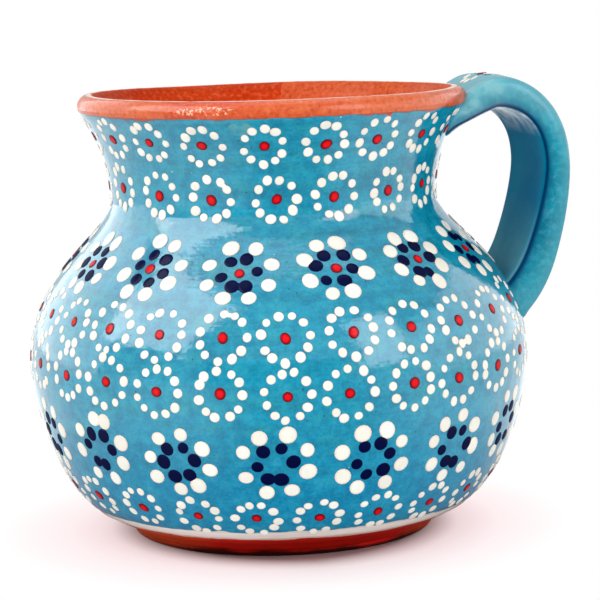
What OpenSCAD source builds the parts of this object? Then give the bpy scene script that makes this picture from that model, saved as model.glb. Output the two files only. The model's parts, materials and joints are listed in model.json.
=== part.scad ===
// Jarrito: a round-bellied clay mug with one strap handle, coloured slips and rows of slip dots.
// Millimetres. The vessel turns about Z, it stands on Z = 0 and its handle points along +X.

/* [Vessel] */
// Height of the vessel to the top of its lip
vessel_h = 92; // [88:1:104]
// Diameter of the clay at the belly
belly_d = 104.5; // [100:0.5:112]
// Height of the widest line of the belly
belly_z = 37; // [34:0.5:42]
// Diameter of the clay at the neck
neck_d = 67.6; // [64:0.2:74]
// Height of the narrowest line of the neck
neck_z = 70; // [67:0.5:74]
// Diameter of the lip
rim_d = 81; // [76:0.5:88]
// Thickness of the rounded lip
lip_t = 4.4; // [3.4:0.1:5.4]
// Thickness of the wall
wall = 4.7; // [3.6:0.1:6]
// Thickness of the floor over the recess
floor_t = 5; // [4:0.1:7]
// Lean of the flare under the lip, from upright
flare_deg = 36; // [24:1:44]

/* [Foot] */
// Diameter of the foot
foot_d = 63.8; // [58:0.2:70]
// Height of the bare clay foot
foot_h = 3.2; // [2.4:0.1:4.4]
// Width of the ring that the mug stands on
foot_ring_w = 6.5; // [4:0.1:10]
// Depth of the recess inside the foot ring
recess_h = 1.2; // [0.6:0.1:2]
// Height of the bare clay wall between the foot and the cream band
bare_rise = 0.9; // [0.4:0.1:1.6]
// Radius of the foot's lower edge
foot_round = 1.3; // [0.4:0.1:2]
// Rise of the wall where it springs from the foot, from level
spring_deg = 17; // [10:1:30]

/* [Handle] */
// How far the handle's outside stands past the belly
handle_out = 8.5; // [6:0.5:16]
// How far the crown of the handle rises above the lip
handle_rise = 1.6; // [0.4:0.1:5]
// How far the crown of the handle stands past the lip
crown_out = 5.2; // [3.6:0.1:8]
// Thickness of the strap at its crown
crown_t = 6.2; // [4.8:0.1:7.4]
// Thickness of the strap at its outermost point
side_t = 5.2; // [4.2:0.1:7]
// Width of the strap at the top
strap_top_w = 28; // [17:0.5:31]
// Width of the strap at the bottom
strap_low_w = 27; // [15:0.5:30]
// Radius of the strap's edges
strap_round = 1.9; // [1:0.1:2]
// How much the strap spreads on each side where it is pressed on
root_spread = 1.2; // [0:0.1:2.4]
// Height of the joint at the top, along the vessel
top_root_h = 11.7; // [7:0.1:12.6]
// Height of the joint at the bottom, along the vessel
low_root_h = 10.5; // [7:0.1:12]
// How far the top of the upper joint lies under the top of the lip
top_root_drop = 1; // [0.8:0.1:2]
// Height of the middle of the lower joint
low_root_z = 46; // [44:0.5:52]

/* [Slips] */
// Thickness of the slip coats
slip_t = 0.3; // [0.2:0.05:0.5]
// Thickness of the clear glaze on the bare clay inside
glaze_t = 0.2; // [0.1:0.05:0.4]
// How far the blue slip ends under the top of the lip
slip_top_drop = 2.7; // [2.2:0.1:5]
// Height of the cream band's upper edge over the foot
cream_h = 3.8; // [2.4:0.1:5]

/* [Dots] */
// Height of a dot over the slip
dot_h = 0.35; // [0.2:0.05:0.5]
// Diameter of a neck ring through the middles of its dots, as a share of a row's height
neck_ring_share = 0.68; // [0.62:0.01:0.72]
// Diameter of a belly ring, as a share of a row's height
belly_ring_share = 0.8; // [0.74:0.01:0.82]
// Diameter of a ring near the foot, as a share of a row's height
base_ring_share = 0.714; // [0.65:0.002:0.73]
// Diameter of the navy ring of a flower, as a share of a row's height
navy_ring_share = 0.58; // [0.55:0.01:0.62]
// Diameter of the white ring round a flower, as a share of a row's height
petal_ring_share = 1.09; // [1.06:0.01:1.12]
// Diameter of the white dots of a neck ring, as a share of a row's height
neck_dot_share = 0.166; // [0.12:0.002:0.18]
// Diameter of the white dots of a belly ring, as a share of a row's height
belly_dot_share = 0.183; // [0.14:0.001:0.19]
// Diameter of the red dot in the middle of a rosette, as a share of a row's height
red_dot_share = 0.204; // [0.14:0.002:0.24]
// Diameter of the navy dots of a flower, as a share of a row's height
navy_dot_share = 0.246; // [0.18:0.002:0.26]
// Diameter of the white dots round a flower, as a share of a row's height
petal_dot_share = 0.28; // [0.2:0.005:0.3]
// White dots in a neck ring
neck_ring_n = 10; // [8:1:11]
// White dots in a belly ring
belly_ring_n = 11; // [8:1:12]
// Navy dots in a flower
navy_n = 6; // [5:1:6]
// White dots round a flower
petal_n = 8; // [6:1:9]
// Rings along the back of the handle
handle_ring_n = 6; // [3:1:6]
// Bare slip kept between the handle's joints and the nearest dots
dot_clear = 0.8; // [0.4:0.1:2]

/* [Hidden] */

// Facets of the turned solids and of one dot
turn_fn = 120;
dot_fn = 20;

clay_col = "#c8643c";
glazed_clay_col = "#d2603a";
blue_col = "#4f93a6";
cream_col = "#efe6d2";
white_col = "#f7f3e6";
navy_col = "#1a2258";
red_col = "#c8283c";

// How far a cut runs past the solid that it cuts
overrun = wall;

foot_r = foot_d / 2;
belly_r = belly_d / 2;
neck_r = neck_d / 2;
rim_r = rim_d / 2;
lip_r = lip_t / 2;

// Points on one stretch of the outline, of the lip and of a rounded edge
lower_n = 12;
upper_n = 14;
flare_n = 7;
lip_n = 10;
edge_n = 4;

// Pulls of the outline's curves, as shares of each stretch's height
lower_pull_shares = [0.46, 0.12];
upper_pull_shares = [0.56, 0.22];
flare_pull_shares = [0.46, 0.22];
floor_pull_shares = [0.45, 0.4];

function bezier(a, b, c, d, t) =
    pow(1 - t, 3) * a + 3 * pow(1 - t, 2) * t * b + 3 * (1 - t) * t * t * c + pow(t, 3) * d;

// Points of a cubic curve from a to d, without its first point
function span(a, b, c, d, n) = [for (i = [1:n]) bezier(a, b, c, d, i / n)];

function unit(v) = v / norm(v);

function arc(centre, r, from, to, n) =
    [for (i = [0:n]) centre + r * [cos(from + (to - from) * i / n), sin(from + (to - from) * i / n)]];

// Outline of the clay, as [distance from the axis, height], from the top of the foot to the lip
spring_at = [foot_r, foot_h];
belly_at = [belly_r, belly_z];
neck_at = [neck_r, neck_z];
lip_at = [rim_r - lip_r, vessel_h - lip_r];
flare_end = lip_at + lip_r * [cos(flare_deg), -sin(flare_deg)];
lower_rise = belly_z - foot_h;
upper_rise = neck_z - belly_z;
flare_rise = flare_end.y - neck_z;

outside = concat(
    [spring_at],
    span(
        spring_at,
        spring_at + lower_pull_shares[0] * lower_rise * [cos(spring_deg), sin(spring_deg)],
        belly_at - [0, lower_pull_shares[1] * lower_rise],
        belly_at,
        lower_n
    ),
    span(
        belly_at,
        belly_at + [0, upper_pull_shares[0] * upper_rise],
        neck_at - [0, upper_pull_shares[1] * upper_rise],
        neck_at,
        upper_n
    ),
    span(
        neck_at,
        neck_at + [0, flare_pull_shares[0] * flare_rise],
        flare_end - flare_pull_shares[1] * flare_rise * [sin(flare_deg), cos(flare_deg)],
        flare_end,
        flare_n
    )
);

// The clay's side with the outer half of the lip, as [height, distance from the axis]
lip_out = arc(lip_at, lip_r, -flare_deg, 90, lip_n);
clay_side = [for (p = concat(outside, [for (i = [1:lip_n]) lip_out[i]])) [p.y, p.x]];
function clay_r(z) = lookup(z, clay_side);

// Direction of the outline at point i, and the way out of the clay there
function along(line, i) = unit(line[min(i + 1, len(line) - 1)] - line[max(i - 1, 0)]);
function outward(line, i) = [along(line, i).y, -along(line, i).x];
function shifted(line, by) = [for (i = [0:len(line) - 1]) line[i] + by * outward(line, i)];
function reversed(line) = [for (i = [len(line) - 1:-1:0]) line[i]];

// The wall thins from the belly to the lip
function wall_at(z) = lookup(z, [[belly_z, wall], [flare_end.y, lip_t]]);
wall_line = [for (i = [0:len(outside) - 1]) outside[i] - wall_at(outside[i].y) * outward(outside, i)];
inside = [for (p = wall_line) if (p.y < flare_end.y) p];
floor_z = recess_h + floor_t;
spring_in = inside[0];
floor_line = concat(
    [[0, floor_z]],
    span(
        [0, floor_z],
        [floor_pull_shares[0] * spring_in.x, floor_z],
        spring_in - floor_pull_shares[1] * spring_in.x * along(outside, 0),
        spring_in,
        lower_n
    )
);
lip_line = arc(lip_at, lip_r, -flare_deg, 180 - flare_deg, 2 * lip_n);

foot_line = concat(
    [[0, recess_h], [foot_r - foot_ring_w - recess_h, recess_h], [foot_r - foot_ring_w, 0]],
    arc([foot_r - foot_round, foot_round], foot_round, -90, 0, edge_n)
);

module turned(outline) {
    rotate_extrude($fn = turn_fn) polygon(outline);
}

module vessel() {
    color(clay_col)
        turned(concat(foot_line, outside, lip_line, reversed(concat(floor_line, inside))));
}

// The stretch of the outline between two heights, with its ends cut level
function stretch(low, high) = concat(
    [[clay_r(low), low]],
    [for (p = outside) if (p.y > low && p.y < high) p],
    [[clay_r(high), high]]
);
function coat(line, thick) = concat(line, reversed(shifted(line, thick)));

cream_low = foot_h + bare_rise;
cream_top = foot_h + cream_h;
slip_top = vessel_h - slip_top_drop;
blue_line = stretch(cream_top, slip_top);
blue_skin = [for (p = shifted(blue_line, slip_t)) [p.y, p.x]];
function skin_r(z) = z > slip_top ? clay_r(z) : lookup(z, blue_skin);

module cream_band() {
    color(cream_col) turned(coat(stretch(cream_low, cream_top), slip_t));
}

module body_slip() {
    color(blue_col)
        difference() {
            turned(coat(blue_line, slip_t));
            root_cut(0);
            root_cut(strap_n);
        }
}

// Points of the glaze's line closer than this share of its thickness are one point
same_share = 0.1;

// The clear glaze runs from the edge of the blue slip over the lip and down to the floor
glaze_from = [for (p = outside) if (p.y > slip_top) p];
glaze_base = concat([[clay_r(slip_top), slip_top]], glaze_from, lip_line, reversed(inside), reversed(floor_line));
glazed = [for (i = [0:len(glaze_base) - 1])
    if (i == 0 || norm(glaze_base[i] - glaze_base[i - 1]) > same_share * glaze_t) glaze_base[i]];

module inside_glaze() {
    skin = shifted(glazed, glaze_t);
    last = len(skin) - 1;
    level_skin = [for (i = [0:last]) i == last ? [0, skin[i].y] : skin[i]];
    color(glazed_clay_col) turned(concat(glazed, reversed(level_skin)));
}

// The strap: two lines of its side view, as [distance from the axis, height], with a station
// at each point of both, and a rounded section across each station
crown_n = 6;
bend_n = 9;
fall_n = 13;
strap_n = crown_n + bend_n + fall_n;
crown_x = rim_r + crown_out;
crown_z = vessel_h + handle_rise;
side_x = belly_r + handle_out;
side_z_share = 0.82;
side_z = side_z_share * vessel_h;

top_root_hi = vessel_h - top_root_drop;
top_root_lo = top_root_hi - top_root_h;
low_root_lo = low_root_z - low_root_h / 2;
low_root_hi = low_root_z + low_root_h / 2;

// Leads of the strap out of the vessel, from level at the top and from upright at the bottom
outer_leads = [30, 27];
inner_leads = [60, 31];
// Pulls of the strap's curves: two for each of its three stretches
outer_pull_shares = [0.3, 0.3, 0.51, 0.62, 0.37, 0.23];
inner_pull_shares = [0.4, 0.24, 0.42, 0.75, 0.2, 0.32];

function strap_line(top, crown, side, low, leads, pulls) = concat(
    [top],
    span(
        top,
        top + pulls[0] * (crown.x - top.x) * [cos(leads[0]), sin(leads[0])],
        crown - [pulls[1] * (crown.x - top.x), 0],
        crown,
        crown_n
    ),
    span(
        crown,
        crown + [pulls[2] * (side.x - crown.x), 0],
        side + [0, pulls[3] * (crown.y - side.y)],
        side,
        bend_n
    ),
    span(
        side,
        side - [0, pulls[4] * (side.y - low.y)],
        low + pulls[5] * (side.y - low.y) * [sin(leads[1]), cos(leads[1])],
        low,
        fall_n
    )
);

outer_line = strap_line(
    [clay_r(top_root_hi), top_root_hi],
    [crown_x, crown_z],
    [side_x, side_z],
    [clay_r(low_root_lo), low_root_lo],
    outer_leads,
    outer_pull_shares
);
inner_line = strap_line(
    [clay_r(top_root_lo), top_root_lo],
    [crown_x, crown_z - crown_t],
    [side_x - side_t, side_z],
    [clay_r(low_root_hi), low_root_hi],
    inner_leads,
    inner_pull_shares
);

// How close station i is to a joint: 1 on the vessel, falling to 0 within a few stations
root_n = 5;
function rooted(i) = pow(max(0, 1 - min(i, strap_n - i) / root_n), 2);
function half_w(i) =
    (strap_top_w + (strap_low_w - strap_top_w) * i / strap_n) / 2 + root_spread * rooted(i);

// A rounded section as [across the strap, through the strap], and its crowned outer face
face_n = 4;
crown_share = 0.1;
function section(w, t, r) = concat(
    arc([w - r, t - r], r, 0, 90, edge_n),
    [for (k = [1:face_n - 1]) [(w - r) * (1 - 2 * k / face_n), t]],
    arc([r - w, t - r], r, 90, 180, edge_n),
    arc([r - w, r - t], r, 180, 270, edge_n),
    [for (k = [1:face_n - 1]) [(r - w) * (1 - 2 * k / face_n), -t]],
    arc([w - r, r - t], r, 270, 360, edge_n)
);
function crowned(p, w, t) = p.y <= 0 ? p : [p.x, p.y + crown_share * t * (1 - pow(p.x / w, 2))];

function mid_of(i) = (outer_line[i] + inner_line[i]) / 2;
function through(i) = unit(outer_line[i] - inner_line[i]);
function half_t(i) = norm(outer_line[i] - inner_line[i]) / 2;

// How far the round vessel falls away beside its middle plane
function fall_away(r, y) = r - sqrt(r * r - y * y);

// Point of station i at [across, through], bent round the vessel near the joints
function strap_point(i, p) =
    let (
        at = mid_of(i) + p.y * through(i),
        r = i < strap_n / 2 ? neck_r : belly_r
    )
    [at.x - rooted(i) * fall_away(r, p.x), p.x, at.y];

function ring(i, grow) =
    let (w = half_w(i), t = half_t(i))
    [for (p = section(w + grow, t + grow, strap_round + grow)) strap_point(i, crowned(p, w, t))];

// The outline of a joint, drawn together by a share and laid on a surface round the axis
function on_clay(p) = [sqrt(pow(clay_r(p.z), 2) - p.y * p.y), p.y, p.z];
function on_skin(p) = [sqrt(pow(skin_r(p.z), 2) - p.y * p.y), p.y, p.z];
function middle(i) = [0, 0, mid_of(i).y];
function drawn_in(i, share) =
    [for (p = ring(i, 0)) on_clay([0, middle(i).y + share * p.y, middle(i).z + share * (p.z - middle(i).z)])];

// Triangles between ring a and ring b of m points each
function band(a, b, m) = [for (j = [0:m - 1]) each [
    [a * m + j, a * m + (j + 1) % m, b * m + (j + 1) % m],
    [a * m + j, b * m + (j + 1) % m, b * m + j]
]];

cap_shares = [1 / 3, 2 / 3, 1];

module handle() {
    rings = concat(
        [for (s = cap_shares) drawn_in(0, s)],
        [for (i = [1:strap_n - 1]) ring(i, 0)],
        [for (s = reversed(cap_shares)) drawn_in(strap_n, s)]
    );
    m = len(rings[0]);
    n = len(rings);
    tips = [on_clay(middle(0)), on_clay(middle(strap_n))];
    points = concat([for (r = rings) each r], tips);
    faces = concat(
        [for (i = [0:n - 2]) each band(i, i + 1, m)],
        [for (j = [0:m - 1]) [n * m, (j + 1) % m, j]],
        [for (j = [0:m - 1]) [n * m + 1, (n - 1) * m + j, (n - 1) * m + (j + 1) % m]]
    );
    color(clay_col) polyhedron(points, faces);
}

// The skin's two walls, each laid on the body's slip at both ends
function skin_ring(i, grow) =
    i == 0 || i == strap_n ? [for (p = ring(i, grow)) on_skin(p)] : ring(i, grow);

module handle_slip() {
    rings = concat(
        [for (i = [0:strap_n]) skin_ring(i, slip_t)],
        [for (i = [strap_n:-1:0]) skin_ring(i, 0)]
    );
    m = len(rings[0]);
    n = len(rings);
    color(blue_col)
        polyhedron(
            [for (r = rings) each r],
            [for (i = [0:n - 1]) each band(i, (i + 1) % n, m)]
        );
}

// The body's slip is open where a joint of the handle is pressed on the clay
module root_cut(i) {
    outline = [for (p = ring(i, 0)) [p.y, p.z]];
    rotate([90, 0, 90]) linear_extrude(belly_r + overrun) polygon(outline);
}

// The patterned height runs from the cream band to the edge of the blue slip, and seven rows
// share it
rows = 7;
pattern_h = slip_top - cream_top;
row_h = pattern_h / rows;
neck_ring_d = neck_ring_share * row_h;
belly_ring_d = belly_ring_share * row_h;
base_ring_d = base_ring_share * row_h;
navy_ring_d = navy_ring_share * row_h;
petal_ring_d = petal_ring_share * row_h;
neck_dot_d = neck_dot_share * row_h;
belly_dot_d = belly_dot_share * row_h;
red_dot_d = red_dot_share * row_h;
navy_dot_d = navy_dot_share * row_h;
petal_dot_d = petal_dot_share * row_h;

// A dot is a low dome with a small flat top, as shares of its radius and height
dome_shares = [[0, 0], [1, 0], [0.85, 0.55], [0.6, 0.88], [0.3, 1], [0, 1]];

module dot(d) {
    rotate_extrude($fn = dot_fn)
        polygon([for (s = dome_shares) [s.x * d / 2, s.y * dot_h]]);
}

// Slope of the skin: the change of radius for one step up, and its length along the skin
function skin_slope(z, step) = (skin_r(z + step) - skin_r(z - step)) / (2 * step);
function skin_run(z, step) = norm([1, skin_slope(z, step)]);

// A dot's seat: on the skin, or on the skin's chord where the neck is hollow
function seat_r(z, step) = max(skin_r(z), (skin_r(z + step) + skin_r(z - step)) / 2);

module on_body(a, z, d) {
    rotate(a)
        translate([seat_r(z, d / 2), 0, z])
            rotate([0, 90 + atan(skin_slope(z, d / 2)), 0])
                dot(d);
}

// Whether a dot at angle a and height z keeps clear of both joints of the handle
function beside(i, a, z, d) =
    let (gap = d / 2 + dot_clear, o = outer_line[i].y, n = inner_line[i].y)
    abs(skin_r(z) * sin(a)) > half_w(i) + gap || cos(a) < 0
        || z > max(o, n) + gap || z < min(o, n) - gap;
function clear_of_handle(a, z, d) = beside(0, a, z, d) && beside(strap_n, a, z, d);

// A rosette's ring of n dots, of diameter d on a ring of diameter ring_d, round angle a at height z
module ring_on_body(a, z, ring_d, d, n, turn) {
    run = skin_run(z, d / 2);
    for (k = [0:n - 1]) {
        phi = turn + 360 * k / n;
        dz = z + ring_d / 2 * sin(phi) / run;
        da = a + ring_d / 2 * cos(phi) / skin_r(dz) * 180 / PI;
        if (clear_of_handle(da, dz, d)) on_body(da, dz, d);
    }
}

// The rows, each as shares: its height over the cream band, of the patterned height, and the
// least gap between its rosettes, of a row's height
neck_upper_shares = [0.931, 0.18];
neck_lower_shares = [0.8, 0.15];
shoulder_shares = [0.634, 0.2];
belly_upper_shares = [0.498, 0.03];
belly_lower_shares = [0.365, 0.08];
low_flower_shares = [0.198, 0.22];
base_shares = [0.057, 0.1];

function row_z(shares) = cream_top + shares[0] * pattern_h;
function row_pitch(shares, ring_d, d) = ring_d + d + shares[1] * row_h;
function row_length(shares) = 2 * PI * skin_r(row_z(shares));

// A row is laid round from its first rosette in even steps, with as many rosettes as fit. Rows
// that meet the handle's joints start on one side of it and end on the other.
function whole_row(shares, ring_d, d, first) =
    let (n = floor(row_length(shares) / row_pitch(shares, ring_d, d)))
    [for (k = [0:n - 1]) first - 360 * k / n];
function open_row(shares, ring_d, d, first) =
    let (turn = 360 + 2 * first, n = floor(row_length(shares) * turn / 360 / row_pitch(shares, ring_d, d)))
    [for (k = [0:n]) first - turn * k / n];

neck_upper_row = open_row(neck_upper_shares, neck_ring_d, neck_dot_d, -28);
neck_lower_row = whole_row(neck_lower_shares, neck_ring_d, neck_dot_d, -37.5);
shoulder_row = whole_row(shoulder_shares, petal_ring_d, petal_dot_d, -33);
belly_upper_row = open_row(belly_upper_shares, belly_ring_d, belly_dot_d, -27);
belly_lower_row = whole_row(belly_lower_shares, belly_ring_d, belly_dot_d, -29);
low_flower_row = whole_row(low_flower_shares, petal_ring_d, petal_dot_d, -33);
base_row = whole_row(base_shares, base_ring_d, neck_dot_d, -43);
petal_turn = 22.5;

module row_of_rings(row, shares, ring_d, d, n) {
    color(white_col)
        for (a = row) ring_on_body(a, row_z(shares), ring_d, d, n, 0);
}

module neck_upper_rings() {
    row_of_rings(neck_upper_row, neck_upper_shares, neck_ring_d, neck_dot_d, neck_ring_n);
}

module neck_lower_rings() {
    row_of_rings(neck_lower_row, neck_lower_shares, neck_ring_d, neck_dot_d, neck_ring_n);
}

module belly_upper_rings() {
    row_of_rings(belly_upper_row, belly_upper_shares, belly_ring_d, belly_dot_d, belly_ring_n);
}

module belly_lower_rings() {
    row_of_rings(belly_lower_row, belly_lower_shares, belly_ring_d, belly_dot_d, belly_ring_n);
}

module base_rings() {
    row_of_rings(base_row, base_shares, base_ring_d, neck_dot_d, neck_ring_n);
}

module petals(row, shares) {
    color(white_col)
        for (a = row) ring_on_body(a, row_z(shares), petal_ring_d, petal_dot_d, petal_n, petal_turn);
}

module navy(row, shares) {
    color(navy_col)
        for (a = row) ring_on_body(a, row_z(shares), navy_ring_d, navy_dot_d, navy_n, 0);
}

module shoulder_flower_petals() {
    petals(shoulder_row, shoulder_shares);
}

module shoulder_flower_navy() {
    navy(shoulder_row, shoulder_shares);
}

module low_flower_petals() {
    petals(low_flower_row, low_flower_shares);
}

module low_flower_navy() {
    navy(low_flower_row, low_flower_shares);
}

module red_row(row, shares) {
    z = row_z(shares);
    for (a = row)
        if (clear_of_handle(a, z, red_dot_d)) on_body(a, z, red_dot_d);
}

module red_centres() {
    color(red_col) {
        red_row(neck_upper_row, neck_upper_shares);
        red_row(neck_lower_row, neck_lower_shares);
        red_row(shoulder_row, shoulder_shares);
        red_row(belly_upper_row, belly_upper_shares);
        red_row(belly_lower_row, belly_lower_shares);
        red_row(base_row, base_shares);
    }
}

// Rings along the outer face of the strap, laid by distance along its line
back_length = [for (i = 0, s = 0; i <= strap_n; i = i + 1,
    s = s + (i <= strap_n ? norm(outer_line[min(i, strap_n)] - outer_line[i - 1]) : 0)) s];
back_x = [for (i = [0:strap_n]) [back_length[i], outer_line[i].x]];
back_z = [for (i = [0:strap_n]) [back_length[i], outer_line[i].y]];
back_w = [for (i = [0:strap_n]) [back_length[i], half_w(i)]];
back_t = [for (i = [0:strap_n]) [back_length[i], half_t(i)]];
function back_at(s) = [lookup(s, back_x), lookup(s, back_z)];
function back_way(s, step) = unit(back_at(s + step) - back_at(s - step));

// First and last ring, as shares of the strap's length
back_shares = [0.13, 0.86];

module on_back(s, y, d) {
    way = back_way(s, d / 2);
    out = [-way.y, way.x];
    rise = crown_share * lookup(s, back_t) * (1 - pow(y / lookup(s, back_w), 2)) + slip_t;
    at = back_at(s) + rise * out;
    translate([at.x, y, at.y])
        rotate([0, 90 - atan2(out.y, out.x), 0])
            dot(d);
}

module each_back_ring() {
    first = back_shares[0] * back_length[strap_n];
    last = back_shares[1] * back_length[strap_n];
    for (k = [0:handle_ring_n - 1]) {
        $along = first + (last - first) * k / (handle_ring_n - 1);
        children();
    }
}

module handle_rings() {
    color(white_col)
        each_back_ring()
            for (k = [0:neck_ring_n - 1]) {
                phi = 360 * k / neck_ring_n;
                on_back($along + neck_ring_d / 2 * sin(phi), neck_ring_d / 2 * cos(phi), neck_dot_d);
            }
}

module handle_red_centres() {
    color(red_col) each_back_ring() on_back($along, 0, red_dot_d);
}

vessel();
handle();
body_slip();
cream_band();
handle_slip();
inside_glaze();
neck_upper_rings();
neck_lower_rings();
shoulder_flower_petals();
shoulder_flower_navy();
belly_upper_rings();
belly_lower_rings();
low_flower_petals();
low_flower_navy();
base_rings();
handle_rings();
red_centres();
handle_red_centres();
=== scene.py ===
"""Jarrito clay mug: a round-bellied pot with one strap handle, coloured slips and rows of slip dots.

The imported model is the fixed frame. Each operator models one part of the mug over it, dresses it
and lets it ride on the mug's one body. The last operator sets the table, the light and the camera.
"""

import json
import math
import random

import bmesh
import bpy
from mathutils import Matrix, Vector

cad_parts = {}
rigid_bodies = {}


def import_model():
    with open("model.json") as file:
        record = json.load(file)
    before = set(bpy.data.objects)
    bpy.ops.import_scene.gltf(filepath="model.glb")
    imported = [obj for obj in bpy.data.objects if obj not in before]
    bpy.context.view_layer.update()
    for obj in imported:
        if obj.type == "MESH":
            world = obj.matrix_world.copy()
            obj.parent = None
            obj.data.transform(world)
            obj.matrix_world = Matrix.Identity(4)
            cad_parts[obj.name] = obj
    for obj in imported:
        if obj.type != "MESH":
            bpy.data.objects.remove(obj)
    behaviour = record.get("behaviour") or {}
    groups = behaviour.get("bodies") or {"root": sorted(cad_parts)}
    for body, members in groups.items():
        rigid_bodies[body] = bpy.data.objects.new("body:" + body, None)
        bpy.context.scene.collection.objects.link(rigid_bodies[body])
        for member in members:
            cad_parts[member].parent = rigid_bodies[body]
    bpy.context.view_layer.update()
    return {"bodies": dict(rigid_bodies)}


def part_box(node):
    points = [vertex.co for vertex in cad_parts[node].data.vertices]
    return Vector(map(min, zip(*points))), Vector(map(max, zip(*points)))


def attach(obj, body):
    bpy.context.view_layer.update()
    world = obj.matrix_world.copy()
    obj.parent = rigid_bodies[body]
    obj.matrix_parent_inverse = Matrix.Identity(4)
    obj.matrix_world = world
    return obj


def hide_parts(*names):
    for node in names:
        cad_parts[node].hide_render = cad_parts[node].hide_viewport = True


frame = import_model()
BODY = next(iter(frame["bodies"]))

bl_info = {
    "name": "Jarrito clay mug",
    "version": (1, 0, 0),
    "blender": (4, 5, 0),
    "location": "View3D > Sidebar > Jarrito",
    "description": "Models a slip-dotted clay mug, its finishes and its plain studio",
    "category": "Add Mesh",
}

MM = 0.001
FULL_TURN = 2 * math.pi
VESSEL_LOW, VESSEL_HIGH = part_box("vessel")


# Sizes and colours

def length(name, description, default):
    """A length that the sidebar shows in the scene's own unit."""
    return bpy.props.FloatProperty(
        name=name, description=description, default=default, min=0, precision=5,
        unit="LENGTH", subtype="DISTANCE",
    )


def angle(name, description, degrees):
    """An angle that the sidebar shows in degrees."""
    return bpy.props.FloatProperty(
        name=name, description=description, default=math.radians(degrees), unit="ROTATION", subtype="ANGLE"
    )


def linear(level):
    """One channel of a written colour, from 0 to 255, as the renderer counts it."""
    part = level / 255
    return part / 12.92 if part <= 0.04045 else ((part + 0.055) / 1.055) ** 2.4


def tone(written):
    """A colour written as six hexadecimal digits, as the renderer counts it."""
    return tuple(linear(int(written[i:i + 2], 16)) for i in (0, 2, 4))


def colour(name, description, written):
    """A colour that the sidebar shows as a swatch."""
    return bpy.props.FloatVectorProperty(
        name=name, description=description, default=tone(written), size=3, min=0, max=1, subtype="COLOR"
    )


class JarritoSizes(bpy.types.PropertyGroup):
    """Sizes of the mug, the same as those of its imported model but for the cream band's lower edge."""

    vessel_height: length("Height", "Height of the vessel to the top of its lip", VESSEL_HIGH[2])
    belly_width: length("Belly", "Diameter of the clay at the belly", VESSEL_HIGH[0] - VESSEL_LOW[0])
    belly_height: length("Belly height", "Height of the widest line of the belly", 37 * MM)
    neck_width: length("Neck", "Diameter of the clay at the neck", 67.6 * MM)
    neck_height: length("Neck height", "Height of the narrowest line of the neck", 70 * MM)
    rim_width: length("Rim", "Diameter of the lip", 81 * MM)
    lip_thickness: length("Lip thickness", "Thickness of the rounded lip", 4.4 * MM)
    flare: angle("Flare", "Lean of the flare under the lip, from upright", 36)
    spring: angle("Spring", "Rise of the wall where it springs from the foot, from level", 17)
    wall: length("Wall", "Thickness of the wall at the belly", 4.7 * MM)
    floor_thickness: length("Floor", "Thickness of the floor over the recess", 5 * MM)
    foot_width: length("Foot", "Diameter of the foot where it stands", 63.8 * MM)
    foot_height: length("Foot height", "Height of the bare clay foot", 3.2 * MM)
    foot_ring: length("Foot ring", "Width of the ring that the mug stands on", 6.5 * MM)
    recess: length("Recess", "Depth of the recess inside the foot ring", 1.2 * MM)
    foot_round: length("Foot edge", "Radius of the foot's lower edge", 1.3 * MM)
    cream_low: length("Cream bottom", "Height of the cream band's lower edge", 5.0 * MM)
    cream_top: length("Cream top", "Height of the cream band's upper edge", 7 * MM)
    blue_top: length("Blue top", "Height of the blue slip's upper edge", 89.3 * MM)
    slip: length("Slip", "Thickness of the slip coats", 0.3 * MM)
    glaze: length("Glaze", "Thickness of the clear glaze", 0.2 * MM)
    dot_height: length("Dot height", "Height of a dot over the slip", 0.13 * MM)
    strap_top: length("Strap top", "Width of the strap at the top", 28 * MM)
    strap_low: length("Strap bottom", "Width of the strap at the bottom", 27 * MM)
    strap_round: length("Strap edge", "Radius of the strap's edges", 1.9 * MM)
    crown_out: length("Crown out", "How far the strap's crown stands past the lip", 5.2 * MM)
    crown_rise: length("Crown rise", "How far the strap's crown rises over the lip", 1.6 * MM)
    crown_thickness: length("Crown thickness", "Thickness of the strap at its crown", 6.2 * MM)
    side_out: length("Side out", "How far the strap stands past the belly", 8.5 * MM)
    side_thickness: length("Side thickness", "Thickness of the strap at its outermost point", 5.2 * MM)
    side_height: length("Side height", "Height of the strap's outermost point", 75.44 * MM)
    top_joint: length("Top joint", "Height of the upper joint's top", 91 * MM)
    top_joint_reach: length("Top joint reach", "Height of the upper joint along the vessel", 11.7 * MM)
    low_joint: length("Low joint", "Height of the middle of the lower joint", 46 * MM)
    low_joint_reach: length("Low joint reach", "Height of the lower joint along the vessel", 10.5 * MM)
    joint_spread: length("Joint spread", "How far the strap spreads on each side at a joint", 1.2 * MM)
    hand_wobble: length("Wobble", "How unevenly the clay was thrown", 0.7 * MM)


class JarritoColours(bpy.types.PropertyGroup):
    """Colours of the clay and the slips."""

    blue: colour("Blue", "Blue slip", "088eac")
    teal: colour("Teal", "Blue slip as it fired on the strap", "0a8aa2")
    clay: colour("Clay", "Bare clay of the foot", "d0180a")
    glazed: colour("Glazed clay", "Clay under its clear glaze", "c43404")
    cream: colour("Cream", "Cream slip", "fff0e8")
    white: colour("White", "White slip", "fffaee")
    navy: colour("Navy", "Navy slip", "030a3a")
    red: colour("Red", "Red slip", "ea0c1c")


# Modelling as by hand

ALMOST_NOTHING = 1e-6


def deselect():
    """Leave edit mode and let go of every object."""
    if bpy.context.object and bpy.context.object.mode != "OBJECT":
        bpy.ops.object.mode_set(mode="OBJECT")
    bpy.ops.object.select_all(action="DESELECT")


def pick(piece):
    """Select one object alone and make it the active one."""
    deselect()
    piece.select_set(True)
    bpy.context.view_layer.objects.active = piece


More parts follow.
